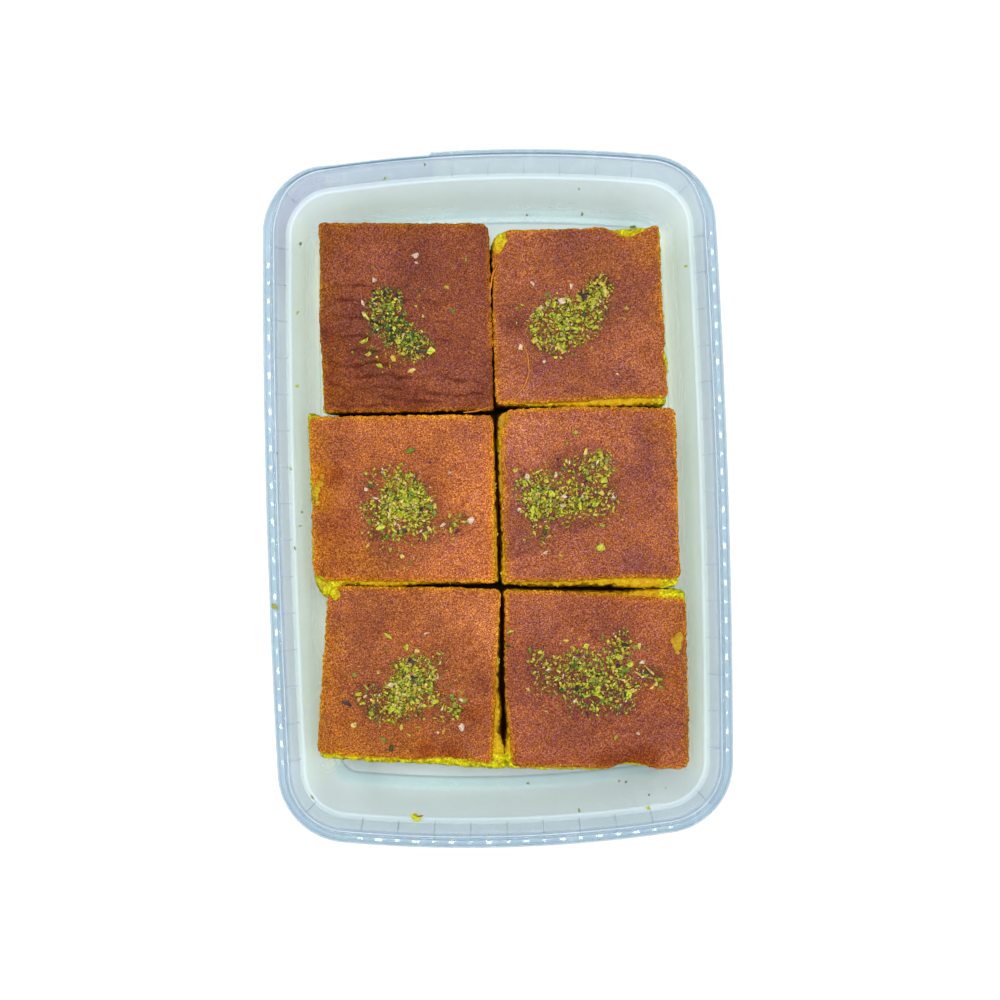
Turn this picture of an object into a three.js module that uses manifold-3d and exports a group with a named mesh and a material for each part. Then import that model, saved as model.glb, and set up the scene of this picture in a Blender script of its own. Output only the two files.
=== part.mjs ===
// Six squares of saffron syrup cake with ground pistachio, in their clear plastic tub.
// Millimetres, +Z up, origin at the bottom centre of the tub; X is the width, Y the length,
// and -Y is the near end.

import * as THREE from 'three';
import { mergeVertices } from 'three/addons/utils/BufferGeometryUtils.js';
import Module from 'manifold-3d';

const wasm = await Module();
wasm.setup();

// Driving dimensions of the tub
const TUB_LENGTH = 228;
const TUB_WIDTH = 151.2;
const TUB_HEIGHT = 48;
const SIDE_BOW = 2.1;
const END_BOW = 6.4;
const CORNER_RADIUS = 23.4;
const WALL = 0.9;
const RIM_WIDTH = 4.4;
const SKIRT_DEPTH = 6.5;
const LEDGE_HEIGHT = 39.3;
const LEDGE_INSET = 8.8;
const FOOT_INSET = 12.6;
const PANEL_INSET = 17.8;
const FLOOR_TOP = 1.8;
const FLOOR_BOTTOM = 0.9;

// The bare panel on the upper wall, and the finger recess in the skirt beside it
const PANEL_LEFT = -55;
const PANEL_RIGHT = -18.4;
const PANEL_RELIEF = 0.3;
const FINGER_RECESS = 0.8;
const STEP_LENGTH = 0.3;

// The gussets under the rim: plates from just above the skirt's edge to the upper wall
const GUSSET_PITCH = 12;
const GUSSET_THICKNESS = 0.8;
const GUSSET_FOOT = 0.7;
const GUSSET_TOP_GAP = 2.8;

// Driving dimensions of the cakes
const CAKE_GAP = 0.3;
const CRUST_THICKNESS = 2.4;
const CRUST_EDGE = 0.9;
const CRUST_WAVE = 0.25;
const CRUMB_WAVE = 0.3;
const EDGE_POINTS = 6;
const TOP_RING_SHARES = [0.72, 0.4];

// The foot of a cake, drawn in to clear the tub's rounded foot
const FOOT_DRAW = 2.2;
const HEEL_DRAW = 0.8;
const HEEL_HEIGHT = 2.6;
const BELLY_HEIGHT = 12;
const FOOT_REACH = 59.6;
const HEEL_REACH = 61;

// The pistachio bits
const NUT_LARGEST = 3.3;
const NUT_SMALLEST = 1.7;
const NUT_FLATNESS = 0.62;
const NUT_LIFT = 0.12;
const NUTS_PER_CAKE = 20;

const tubMaterial = new THREE.MeshStandardMaterial({
  name: 'clear_plastic', color: 0xc4d8dc, roughness: 0.28, metalness: 0,
});
const cakeMaterial = new THREE.MeshStandardMaterial({
  name: 'syrup_cake', color: 0xa15b3b, roughness: 0.62, metalness: 0,
});

// Seeded random numbers from 0 to 1
function seededRandom(seed) {
  let state = seed >>> 0;
  return () => {
    state = (state + 0x6d2b79f5) >>> 0;
    let mixed = Math.imul(state ^ (state >>> 15), 1 | state);
    mixed = (mixed + Math.imul(mixed ^ (mixed >>> 7), 61 | mixed)) ^ mixed;
    return ((mixed ^ (mixed >>> 14)) >>> 0) / 4294967296;
  };
}

// A solid from a closed geometry
function solidOf(geometry) {
  const bare = geometry.clone();
  bare.deleteAttribute('normal');
  bare.deleteAttribute('uv');
  const merged = mergeVertices(bare, 1e-5);
  return new wasm.Manifold(new wasm.Mesh({
    numProp: 3,
    vertProperties: new Float32Array(merged.attributes.position.array),
    triVerts: new Uint32Array(merged.index.array),
  }));
}

// A geometry from a solid
function geometryOf(solid) {
  const mesh = solid.getMesh();
  const geometry = new THREE.BufferGeometry();
  geometry.setAttribute('position', new THREE.BufferAttribute(mesh.vertProperties, 3));
  geometry.setIndex(new THREE.BufferAttribute(mesh.triVerts, 1));
  geometry.computeVertexNormals();
  return geometry;
}

// A closed skin through rings of points from bottom to top, with a point closing each end
function skinOf(rings, first, last) {
  const count = rings[0].length;
  const positions = [...rings.flat(2), ...first, ...last];
  const firstIndex = rings.length * count;
  const index = [];
  for (let i = 0; i < count; i += 1) {
    const next = (i + 1) % count;
    index.push(firstIndex, next, i);
    for (let ring = 0; ring < rings.length - 1; ring += 1) {
      const low = ring * count;
      const high = low + count;
      index.push(low + i, low + next, high + next);
      index.push(low + i, high + next, high + i);
    }
    const top = (rings.length - 1) * count;
    index.push(top + i, top + next, firstIndex + 1);
  }
  const geometry = new THREE.BufferGeometry();
  geometry.setAttribute('position', new THREE.BufferAttribute(new Float32Array(positions), 3));
  geometry.setIndex(index);
  return geometry;
}

// The tub's outline: eight arcs, anticlockwise from the low end of the right side
function outlineArcs() {
  const halfLength = TUB_LENGTH / 2;
  const halfWidth = TUB_WIDTH / 2;
  const side = (halfLength ** 2 + SIDE_BOW ** 2) / (2 * SIDE_BOW);
  const end = (halfWidth ** 2 + END_BOW ** 2) / (2 * END_BOW);
  const sideX = halfWidth - side;
  const endY = halfLength - end;

  // The corner's centre is where circles about the side's and the end's centres meet
  const reachSide = side - CORNER_RADIUS;
  const reachEnd = end - CORNER_RADIUS;
  const apart = Math.hypot(sideX, endY);
  const along = (reachSide ** 2 - reachEnd ** 2 + apart ** 2) / (2 * apart);
  const off = Math.sqrt(reachSide ** 2 - along ** 2);
  const toEnd = [-sideX / apart, endY / apart];
  const cornerX = sideX + along * toEnd[0] - off * toEnd[1];
  const cornerY = along * toEnd[1] + off * toEnd[0];

  const low = Math.atan2(cornerY, cornerX - sideX);
  const high = Math.atan2(cornerY - endY, cornerX);
  const full = Math.PI;
  const arcs = [
    { x: sideX, y: 0, radius: side, from: -low, to: low, steps: 4 },
    { x: cornerX, y: cornerY, radius: CORNER_RADIUS, from: low, to: high, steps: 6 },
    { x: 0, y: endY, radius: end, from: high, to: full - high, steps: 6 },
    { x: -cornerX, y: cornerY, radius: CORNER_RADIUS, from: full - high, to: full - low, steps: 6 },
    { x: -sideX, y: 0, radius: side, from: full - low, to: full + low, steps: 4 },
    { x: -cornerX, y: -cornerY, radius: CORNER_RADIUS, from: full + low, to: full + high, steps: 6 },
    { x: 0, y: -endY, radius: end, from: full + high, to: 2 * full - high, steps: 6 },
    { x: cornerX, y: -cornerY, radius: CORNER_RADIUS, from: 2 * full - high, to: 2 * full - low, steps: 6 },
  ];
  let start = 0;
  for (const arc of arcs) {
    arc.start = start;
    arc.length = arc.radius * (arc.to - arc.from);
    start += arc.length;
  }
  return arcs;
}

const arcs = outlineArcs();

// The outer outline's point and outward direction, a way along it in millimetres
function outlineAt(way) {
  const arc = arcs.findLast((each) => each.start <= way);
  const angle = arc.from + (way - arc.start) / arc.radius;
  const out = [Math.cos(angle), Math.sin(angle)];
  return { x: arc.x + arc.radius * out[0], y: arc.y + arc.radius * out[1], out };
}

// The way along the outline to where it passes x, on one of its arcs above the middle
function wayAt(arc, x) {
  return arc.start + arc.radius * (Math.acos((x - arc.x) / arc.radius) - arc.from);
}

const panelStart = wayAt(arcs[2], PANEL_RIGHT);
const panelEnd = wayAt(arcs[3], PANEL_LEFT);

function onPanel(way) {
  return way > panelStart && way < panelEnd;
}

// The tub's section from the floor's middle, up the inside, over the rim and back under the floor.
// Each point is its inset from the outer outline, its height, and the part that it belongs to.
function tubSection() {
  const top = TUB_HEIGHT;
  const skirtLow = TUB_HEIGHT - SKIRT_DEPTH;
  return [
    [PANEL_INSET, FLOOR_TOP],
    [PANEL_INSET - 0.7, FLOOR_TOP - 0.7],
    [FOOT_INSET + 1.9, FLOOR_TOP - 0.7],
    [FOOT_INSET + 0.3, FLOOR_TOP + 0.2],
    [FOOT_INSET - 0.3, FLOOR_TOP + 2.4],
    [LEDGE_INSET + 0.3, LEDGE_HEIGHT - 0.9],
    [LEDGE_INSET, LEDGE_HEIGHT - 0.1],
    [LEDGE_INSET - 0.7, LEDGE_HEIGHT + 0.2],
    [LEDGE_INSET - 1.0, LEDGE_HEIGHT + 0.8, 'band'],
    [RIM_WIDTH + 1.1, top - 1.9, 'band'],
    [RIM_WIDTH + 0.7, top - 1.5],
    [RIM_WIDTH, top - 0.3],
    [RIM_WIDTH - 0.8, top],
    [2.0, top, 'skirt'],
    [0.9, top - 0.5, 'skirt'],
    [0.3, top - 1.5, 'skirt'],
    [0, skirtLow, 'skirt'],
    [WALL, skirtLow, 'skirt'],
    [WALL + 0.4, top - 1.9, 'skirt'],
    [WALL + 1.5, top - WALL],
    [RIM_WIDTH - 1.0, top - WALL],
    [RIM_WIDTH + 0.2, top - 2.2],
    [LEDGE_INSET - 1.9, LEDGE_HEIGHT + 0.4],
    [LEDGE_INSET - 0.8, LEDGE_HEIGHT - 1.2],
    [FOOT_INSET - 1.2, FLOOR_TOP + 1.8],
    [FOOT_INSET - 0.5, 0.6],
    [FOOT_INSET + 0.5, 0],
    [PANEL_INSET - 0.9, 0],
    [PANEL_INSET - 0.2, FLOOR_BOTTOM],
  ];
}

function makeTub() {
  const ways = [panelStart, panelStart + STEP_LENGTH, panelEnd - STEP_LENGTH, panelEnd];
  for (const arc of arcs) {
    for (let step = 0; step < arc.steps; step += 1) {
      ways.push(arc.start + (arc.length * step) / arc.steps);
    }
  }
  ways.sort((a, b) => a - b);

  const rings = tubSection().map(([inset, height, part]) => ways.map((way) => {
    const { x, y, out } = outlineAt(way);
    const finger = part === 'skirt' && onPanel(way) ? FINGER_RECESS : 0;
    const relief = part === 'band' && onPanel(way) ? PANEL_RELIEF : 0;
    const inward = inset + finger + relief;
    return [x - inward * out[0], y - inward * out[1], height];
  }));

  // The rings run from the floor's top out and round to its underside, so they are taken from
  // the underside for the faces to point out
  rings.reverse();
  let tub = solidOf(skinOf(rings, [0, 0, FLOOR_BOTTOM], [0, 0, FLOOR_TOP]));
  for (const gusset of gussets()) {
    tub = tub.add(gusset);
  }
  return geometryOf(tub);
}

// The ways along the outline where a gusset stands: evenly about the middle of each side and end,
// one at the middle of each corner, and none on the bare panel
function gussetWays() {
  const ways = [];
  for (const arc of arcs) {
    const halfLength = arc.length / 2;
    const each = arc.radius === CORNER_RADIUS ? 0 : Math.floor(halfLength / GUSSET_PITCH);
    for (let i = -each; i <= each; i += 1) {
      ways.push(arc.start + halfLength + i * GUSSET_PITCH);
    }
  }
  return ways.filter((way) => !onPanel(way));
}

// Thin plates under the rim that tie the skirt to the upper wall
function gussets() {
  const skirtMiddle = WALL / 2;
  const wallMiddle = LEDGE_INSET - 1.5;
  const plateTop = TUB_HEIGHT - GUSSET_TOP_GAP;
  const shape = new THREE.Shape([
    new THREE.Vector2(-skirtMiddle, TUB_HEIGHT - SKIRT_DEPTH + GUSSET_FOOT),
    new THREE.Vector2(-wallMiddle, LEDGE_HEIGHT + 1.3),
    new THREE.Vector2(-RIM_WIDTH - 1.0, plateTop),
    new THREE.Vector2(-skirtMiddle - 0.25, plateTop),
  ]);
  const plate = new THREE.ExtrudeGeometry(shape, { depth: GUSSET_THICKNESS, bevelEnabled: false });
  plate.translate(0, 0, -GUSSET_THICKNESS / 2);
  plate.rotateX(Math.PI / 2);

  return gussetWays().map((way) => {
    const { x, y, out } = outlineAt(way);
    const placed = plate.clone();
    placed.rotateZ(Math.atan2(out[1], out[0]));
    placed.translate(x, y, 0);
    return solidOf(placed);
  });
}

// The six cakes, as they lie. crust and crumb give the corners of the brown top and of the
// yellow crumb under it, in the order near left, near right, far right, far left, and round
// gives the rounding of those corners. A mark moves the edge about a place and sinks the top
// there, on the crust or on the crumb. heaps are the pistachio: place, half-sizes and turn.
const CAKES = [
  {
    name: 'cake_back_left', seed: 11, top: 31.4,
    crust: [[-57.2, 30.2], [-0.5, 29.3], [-0.5, 92.2], [-57.2, 94.0]],
    crumb: [[-57.7, 30.4], [-0.6, 29.5], [-0.6, 92.0], [-57.6, 93.8]],
    round: [1.4, 1.4, 3.2, 1.6],
    marks: [{ on: 'crust', at: [-58, 62], reach: 18, push: [-0.5, 0], sink: 0.2 }],
    heaps: [
      { at: [-33.2, 66.5], half: [6, 5], turn: 0.3 },
      { at: [-29.1, 58.6], half: [5, 5], turn: 0 },
      { at: [-25.7, 50.2], half: [7, 5], turn: 0.4 },
    ],
    strays: [[-26, 82], [-14.5, 64], [-46, 60]],
  },
  {
    name: 'cake_back_right', seed: 22, top: 30.8,
    crust: [[0.7, 31.2], [58.2, 31.5], [56.8, 89.8], [1.0, 89.6]],
    crumb: [[0.5, 30.7], [57.9, 29.3], [57.3, 89.6], [0.5, 89.6]],
    round: [1.6, 2.2, 1.2, 6.5],
    marks: [
      { on: 'crust', at: [46.5, 90], reach: 9, push: [0, -3.2], sink: 0.5 },
      { on: 'crust', at: [58.5, 46], reach: 4, push: [-0.7, 0], sink: 0.3 },
    ],
    heaps: [
      { at: [24.5, 59.7], half: [12, 6], turn: 0.45 },
      { at: [35.0, 69.0], half: [5, 5], turn: 0.6 },
    ],
    strays: [[12.5, 71], [17, 45], [42.5, 41]],
  },
  {
    name: 'cake_middle_left', seed: 33, top: 31.0,
    crust: [[-62.4, -25.6], [-1.3, -28.4], [-0.7, 28.1], [-62.2, 29.1]],
    crumb: [[-62.6, -26.2], [-0.5, -28.9], [-0.5, 28.0], [-62.8, 29.2]],
    round: [5.0, 2.0, 2.5, 1.6],
    marks: [
      { on: 'crumb', at: [-60.5, -27.5], reach: 6.5, push: [-0.2, -4.2], sink: 0 },
      { on: 'crumb', at: [-61.5, 29.5], reach: 3.8, push: [-0.5, 1.4], sink: 0 },
      { on: 'crust', at: [-62.5, 3], reach: 9, push: [0.6, 0], sink: 0.4 },
    ],
    heaps: [{ at: [-31.8, -0.4], half: [11, 10], turn: 0 }],
    strays: [[-27.5, 17], [-22, 9], [-13, -6], [-8.5, -7]],
  },
  {
    name: 'cake_middle_right', seed: 44, top: 30.6,
    crust: [[1.2, -28.2], [60.4, -29.0], [60.4, 28.4], [2.0, 29.6]],
    crumb: [[0.6, -29.3], [60.3, -31.0], [60.2, 28.3], [0.6, 29.3]],
    round: [1.6, 3.0, 2.0, 4.5],
    marks: [{ on: 'crust', at: [2.5, 26], reach: 5, push: [1.4, 0], sink: 0.4 }],
    heaps: [
      { at: [14.3, 2.2], half: [9, 6], turn: 0 },
      { at: [32.7, 5.7], half: [7, 8], turn: 0 },
      { at: [23.5, -1.4], half: [9, 4], turn: 0 },
    ],
    strays: [[26, 21.5], [34, -16.5], [39, -24.5]],
  },
  {
    name: 'cake_front_left', seed: 55, top: 30.9,
    crust: [[-62.9, -83.4], [-3.4, -88.8], [0.2, -30.9], [-57.4, -27.4]],
    crumb: [[-62.6, -86.2], [-2.4, -91.2], [-0.1, -31.0], [-57.4, -27.8]],
    round: [3.0, 2.2, 1.6, 6.0],
    marks: [
      { on: 'crust', at: [-17, -88], reach: 14, push: [0, 1.2], sink: 0.6 },
      { on: 'crumb', at: [-58, -29], reach: 6, push: [1.4, -1.4], sink: 0 },
      { on: 'crumb', at: [-2, -89], reach: 10, push: [2.0, -0.3], sink: 0 },
    ],
    heaps: [
      { at: [-30.2, -61.0], half: [8, 9], turn: 0 },
      { at: [-42.7, -67.0], half: [5, 4], turn: 0 },
      { at: [-19.1, -68.7], half: [5, 4], turn: 0.5 },
    ],
    strays: [[-37, -45], [-56, -62], [-15, -76], [-40, -80]],
  },
  {
    name: 'cake_front_right', seed: 66, top: 31.3,
    crust: [[2.2, -89.8], [61.4, -92.4], [62.0, -35.2], [1.6, -31.0]],
    crumb: [[1.2, -91.2], [61.5, -92.3], [62.2, -33.6], [1.1, -30.6]],
    round: [2.6, 4.0, 2.6, 2.2],
    marks: [
      { on: 'crust', at: [42, -92], reach: 9, push: [0, 1.9], sink: 0.9 },
      { on: 'crumb', at: [42, -92], reach: 10, push: [0, 1.4], sink: 0 },
      { on: 'crust', at: [60, -50], reach: 4, push: [0, 0], sink: 0.6 },
    ],
    heaps: [
      { at: [33.3, -62.3], half: [12, 9], turn: 0.1 },
      { at: [15.1, -58.4], half: [6, 5], turn: -0.4 },
      { at: [48.9, -63.1], half: [5, 3], turn: -0.3 },
    ],
    strays: [[4.5, -48], [39, -82], [15, -73]],
  },
];

// The points round four corners, each corner a short curve, each side split evenly
function roundedQuad(corners, round) {
  const points = [];
  corners.forEach((corner, i) => {
    const here = new THREE.Vector2(...corner);
    const before = new THREE.Vector2(...corners[(i + 3) % 4]);
    const after = new THREE.Vector2(...corners[(i + 1) % 4]);
    const start = here.clone().add(before.clone().sub(here).setLength(round[i]));
    const end = here.clone().add(after.clone().sub(here).setLength(round[i]));
    const nextStart = after.clone().add(here.clone().sub(after).setLength(round[(i + 1) % 4]));
    const middle = start.clone().add(end).multiplyScalar(0.25).addScaledVector(here, 0.5);
    points.push(start, middle, end);
    for (let step = 1; step <= EDGE_POINTS; step += 1) {
      points.push(end.clone().lerp(nextStart, step / (EDGE_POINTS + 1)));
    }
  });
  return points;
}

// How strongly a mark acts at a place, from 1 at its middle to 0 at its reach
function markWeight(mark, x, y) {
  const far = Math.hypot(x - mark.at[0], y - mark.at[1]) / mark.reach;
  return far < 1 ? (1 - far ** 2) ** 2 : 0;
}

// An outline with its slow waves and its marks, away from the middle of the cake
function workedOutline(cake, which, wave, phase) {
  const points = roundedQuad(cake[which], cake.round);
  const centre = points.reduce((sum, p) => sum.add(p), new THREE.Vector2()).divideScalar(points.length);
  return points.map((point, i) => {
    const round = (2 * Math.PI * i) / points.length;
    const ripple = 0.5 * Math.sin(5 * round + phase)
      + 0.3 * Math.sin(9 * round + 2.3 * phase)
      + 0.2 * Math.sin(16 * round + 3.7 * phase);
    const moved = point.clone().add(point.clone().sub(centre).setLength(wave * ripple));
    for (const mark of cake.marks.filter((each) => each.on === which)) {
      const weight = markWeight(mark, point.x, point.y);
      moved.x += weight * mark.push[0];
      moved.y += weight * mark.push[1];
    }
    return moved;
  });
}

// How far the crust's top lies below the cake's height at a place
function sinkAt(cake, x, y) {
  return cake.marks.reduce((sum, mark) => sum + mark.sink * markWeight(mark, x, y), 0);
}

// One ring of a cake: an outline drawn in towards the middle, at a height
function ringOf(outline, inset, height) {
  const centre = outline.reduce((sum, p) => sum.add(p), new THREE.Vector2()).divideScalar(outline.length);
  return outline.map((point) => {
    const toMiddle = centre.clone().sub(point);
    const moved = point.clone().add(toMiddle.setLength(inset));
    return [moved.x, moved.y, height];
  });
}

function makeCakeBody(cake) {
  const crust = workedOutline(cake, 'crust', CRUST_WAVE, cake.seed);
  const crumb = workedOutline(cake, 'crumb', CRUMB_WAVE, cake.seed + 1);
  const bottom = FLOOR_TOP + CAKE_GAP;
  const crustLow = cake.top - CRUST_THICKNESS;

  const foot = ringOf(crumb, FOOT_DRAW, bottom);
  const heel = ringOf(crumb, HEEL_DRAW, bottom + HEEL_HEIGHT);
  for (const point of foot) {
    point[0] = THREE.MathUtils.clamp(point[0], -FOOT_REACH, FOOT_REACH);
  }
  for (const point of heel) {
    point[0] = THREE.MathUtils.clamp(point[0], -HEEL_REACH, HEEL_REACH);
  }
  const rings = [
    foot,
    heel,
    ringOf(crumb, 0.1, bottom + BELLY_HEIGHT),
    ringOf(crumb, 0, crustLow - 4),
    ringOf(crumb, 0.3, crustLow - 0.8),
    ringOf(crust, 0.4, crustLow),
    ringOf(crust, 0, crustLow + 0.8),
    ringOf(crust, 0.1, cake.top - 0.7),
    ringOf(crust, CRUST_EDGE, cake.top),
  ];

  // The top, drawn in from the edge to the middle
  const edge = rings.at(-1);
  const middle = [0, 1].map((axis) => edge.reduce((sum, p) => sum + p[axis], 0) / edge.length);
  for (const share of TOP_RING_SHARES) {
    rings.push(edge.map(([x, y]) => [
      middle[0] + (x - middle[0]) * share, middle[1] + (y - middle[1]) * share, cake.top,
    ]));
  }

  // The marks sink everything above the belly
  for (const ring of rings) {
    for (const point of ring.filter((each) => each[2] > bottom + BELLY_HEIGHT)) {
      point[2] -= sinkAt(cake, point[0], point[1]);
    }
  }
  return solidOf(skinOf(rings, [...middle, bottom], [...middle, cake.top]));
}

// One chip of pistachio: an uneven, flattened lump half sunk in the crust
function makeNut(size, x, y, height, random) {
  const chip = new THREE.IcosahedronGeometry(size / 2, 0);
  chip.deleteAttribute('normal');
  chip.deleteAttribute('uv');
  const lump = mergeVertices(chip, 1e-4);
  const spots = lump.attributes.position;
  for (let i = 0; i < spots.count; i += 1) {
    const grow = 0.8 + 0.45 * random();
    spots.setXYZ(i, spots.getX(i) * grow, spots.getY(i) * grow, spots.getZ(i) * grow);
  }
  lump.rotateX(random() * Math.PI);
  lump.rotateY(random() * Math.PI);
  lump.scale(1, 0.75 + 0.4 * random(), NUT_FLATNESS);
  lump.rotateZ(random() * Math.PI);
  lump.translate(x, y, height + NUT_LIFT * size);
  return solidOf(lump);
}

// The chips of one cake, the largest first, spread over its heaps by their area
function nutsOf(cake) {
  const random = seededRandom(cake.seed);
  const areas = cake.heaps.map((heap) => heap.half[0] * heap.half[1]);
  const whole = areas.reduce((sum, area) => sum + area, 0);
  const inHeaps = NUTS_PER_CAKE - cake.strays.length;
  const places = [];
  cake.heaps.forEach((heap, i) => {
    const count = Math.max(2, Math.round((inHeaps * areas[i]) / whole));
    for (let n = 0; n < count; n += 1) {
      const angle = n * Math.PI * (3 - Math.sqrt(5)) + random();
      const far = Math.sqrt((n + 0.4) / count);
      const u = heap.half[0] * far * Math.cos(angle);
      const v = heap.half[1] * far * Math.sin(angle);
      places.push({
        far,
        x: heap.at[0] + u * Math.cos(heap.turn) - v * Math.sin(heap.turn),
        y: heap.at[1] + u * Math.sin(heap.turn) + v * Math.cos(heap.turn),
      });
    }
  });
  places.sort((a, b) => a.far - b.far);
  cake.strays.forEach(([x, y]) => places.push({ far: 1, x, y }));
  return places.map(({ x, y }, i) => {
    const size = THREE.MathUtils.lerp(NUT_LARGEST, NUT_SMALLEST, i / places.length);
    return makeNut(size, x, y, cake.top - sinkAt(cake, x, y), random);
  });
}

function makeCake(cake) {
  let body = makeCakeBody(cake);
  for (const nut of nutsOf(cake)) {
    body = body.add(nut);
  }
  return geometryOf(body);
}

function namedMesh(name, geometry, material) {
  const mesh = new THREE.Mesh(geometry, material);
  mesh.name = name;
  return mesh;
}

const part = new THREE.Group();
part.add(namedMesh('tub', makeTub(), tubMaterial));
for (const cake of CAKES) {
  part.add(namedMesh(cake.name, makeCake(cake), cakeMaterial));
}

export default part;
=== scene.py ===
"""Six squares of saffron syrup cake with ground pistachio in a clear plastic tub."""
import math

import bmesh
import bpy
import numpy as np
from mathutils import Matrix


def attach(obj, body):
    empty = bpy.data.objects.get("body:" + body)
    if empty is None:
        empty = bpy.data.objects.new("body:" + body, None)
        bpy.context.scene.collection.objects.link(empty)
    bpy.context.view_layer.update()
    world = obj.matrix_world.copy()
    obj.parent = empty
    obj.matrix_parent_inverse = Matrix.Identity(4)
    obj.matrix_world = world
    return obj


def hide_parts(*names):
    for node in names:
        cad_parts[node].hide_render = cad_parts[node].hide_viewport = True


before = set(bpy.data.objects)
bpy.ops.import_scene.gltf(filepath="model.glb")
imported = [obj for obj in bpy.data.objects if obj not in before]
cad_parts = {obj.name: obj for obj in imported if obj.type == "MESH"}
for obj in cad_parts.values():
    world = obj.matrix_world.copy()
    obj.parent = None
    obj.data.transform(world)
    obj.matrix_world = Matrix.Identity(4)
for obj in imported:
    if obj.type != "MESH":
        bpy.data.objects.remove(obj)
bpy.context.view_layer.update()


def table(text):
    """The rows of a table. Each row ends at a comma, and spaces part its words and numbers."""
    rows = [row.split() for row in text.split(",")]
    return [tuple(part if part[0].isalpha() else float(part) for part in row) for row in rows if row]


MM = 0.001

# Camera: it looks straight down from above the tub, turned and tipped a little
IMAGE = 1000
SENSOR_MM = 36
FOCAL_PX = 1824.5
CAMERA_MM = (0, -10, 640)
CAMERA_PITCH = 0.877
CAMERA_YAW = -0.080
CAMERA_ROLL = -1.702

# Lamps: name, place and size in millimetres, and watts. The thin strips make the glints along the rim
LAMPS = [
    ("overhead", (-60, 300, 1480), (700, 700), 18),
    ("near_strip", (0, -700, 1000), (500, 40), 2.2),
    ("left_strip", (-543, 0, 900), (500, 40), 2.2),
    ("right_strip", (543, 0, 900), (500, 40), 2.2),
]
ROOM_COLOUR = (0.96, 0.98, 1.0)
ROOM_STRENGTH = 0.5
FLOOR_SIDE = 3000
FLOOR_STEPS = 24
FLOOR_HEIGHT = -0.15

# The tub, in millimetres, as in the solid model
TUB_LENGTH = 228
TUB_WIDTH = 151.2
TUB_HEIGHT = 48
SIDE_BOW = 2.1
END_BOW = 6.4
CORNER_RADIUS = 23.4
WALL = 0.9
RIM_WIDTH = 4.4
SKIRT_DEPTH = 6.5
LEDGE_HEIGHT = 39.3
LEDGE_INSET = 8.8
FOOT_INSET = 12.6
PANEL_INSET = 17.8
FLOOR_TOP = 1.8
FLOOR_BOTTOM = 0.9
FINGER_RECESS = 0.8
GUSSET_PITCH = 12
GUSSET_THICKNESS = 0.28

# The bare panel on the upper back wall
PANEL_LEFT = -55
PANEL_RIGHT = -18.4
PANEL_LOW = LEDGE_HEIGHT + 1.2
PANEL_HIGH = TUB_HEIGHT - 1.8
PANEL_CORNER = 4.0
PANEL_RELIEF = 0.35

# The slope on the rim that catches the light, its scallops, and how much narrower it is at the back
FACET_INNER = 2.9
FACET_OUTER = 1.9
FACET_SLOPE = 0.192
SCALLOP = 0.045
BACK_NARROWING = 1.4

STATION_STEP = 0.9
SECTION_STEP = 1.6
SECTION_ROUND = 0.3

# Fine painted lines where the plastic bends sharply, painted shade in the dark ones and painted highlights
# in the light ones: height, inset, reach and strength, light ones above 0
FINE_LINES = table("""
    46.9 4.75 0.6 -0.42, 47.2 3.5 0.45 -0.55, 47.9 4.15 0.4 0.4, 47.65 1.3 0.4 -0.35, 47.3 0.75 0.35 0.5,
    46.2 0.2 0.4 -0.3, 1.1 17.1 0.6 -1, 1.1 14.6 0.5 -0.5, 2.6 12.4 0.9 0.4, 38.2 9.1 0.5 -0.5,
    39.4 8.5 0.4 0.7, 40 7.8 0.35 -0.35""")

# The cakes, in millimetres
CAKE_BOTTOM = 2.1
CRUST_THICKNESS = 2.4
BOTTOM_REACH = 59.6
CRUST_WAVE = 0.12
CRUMB_WAVE = 0.25
POINTS_PER_SIDE = 132
GRID_INSET = 1.0
SHELF_RINGS = 4
CRUMB_RINGS = 30
CLINGING_CRUMBS = 14

# Waves along each outline: share, how many go round, and how far the cake's phase shifts them
RIPPLES = table("0.5 5 1, 0.3 9 2.3, 0.2 16 3.7")

# Rings over the crust's edge, from the top to where the crumb starts: inset, drop and raggedness
CRUST_RINGS = table("""
    0.75 0.06 0.6, 0.55 0.14 0.8, 0.38 0.26 1, 0.22 0.44 1, 0.1 0.7 1, 0.03 1.05 1, 0 1.45 1, 0.03 1.8 1,
    0.12 2.1 1, 0.3 2.4 1""")

# The syrup on the tub's floor, dark as painted shade in the gaps between the cakes
SYRUP_HALF_WIDTH = 55.5
SYRUP_HALF_LENGTH = 88.5
SYRUP_POINTS = 160

# The crust's kinds of patch, each with the tint that it gives. The light patches are a painted sheen.
PATCHES = {
    "light": (1.38, 1.48, 1.75),
    "pink": (1.4, 1.6, 1.9),
    "plum": (0.72, 0.68, 1.15),
    "warm": (0.72, 0.52, 0.15),
    "gold": (1.15, 1.3, 0.1),
}

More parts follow.
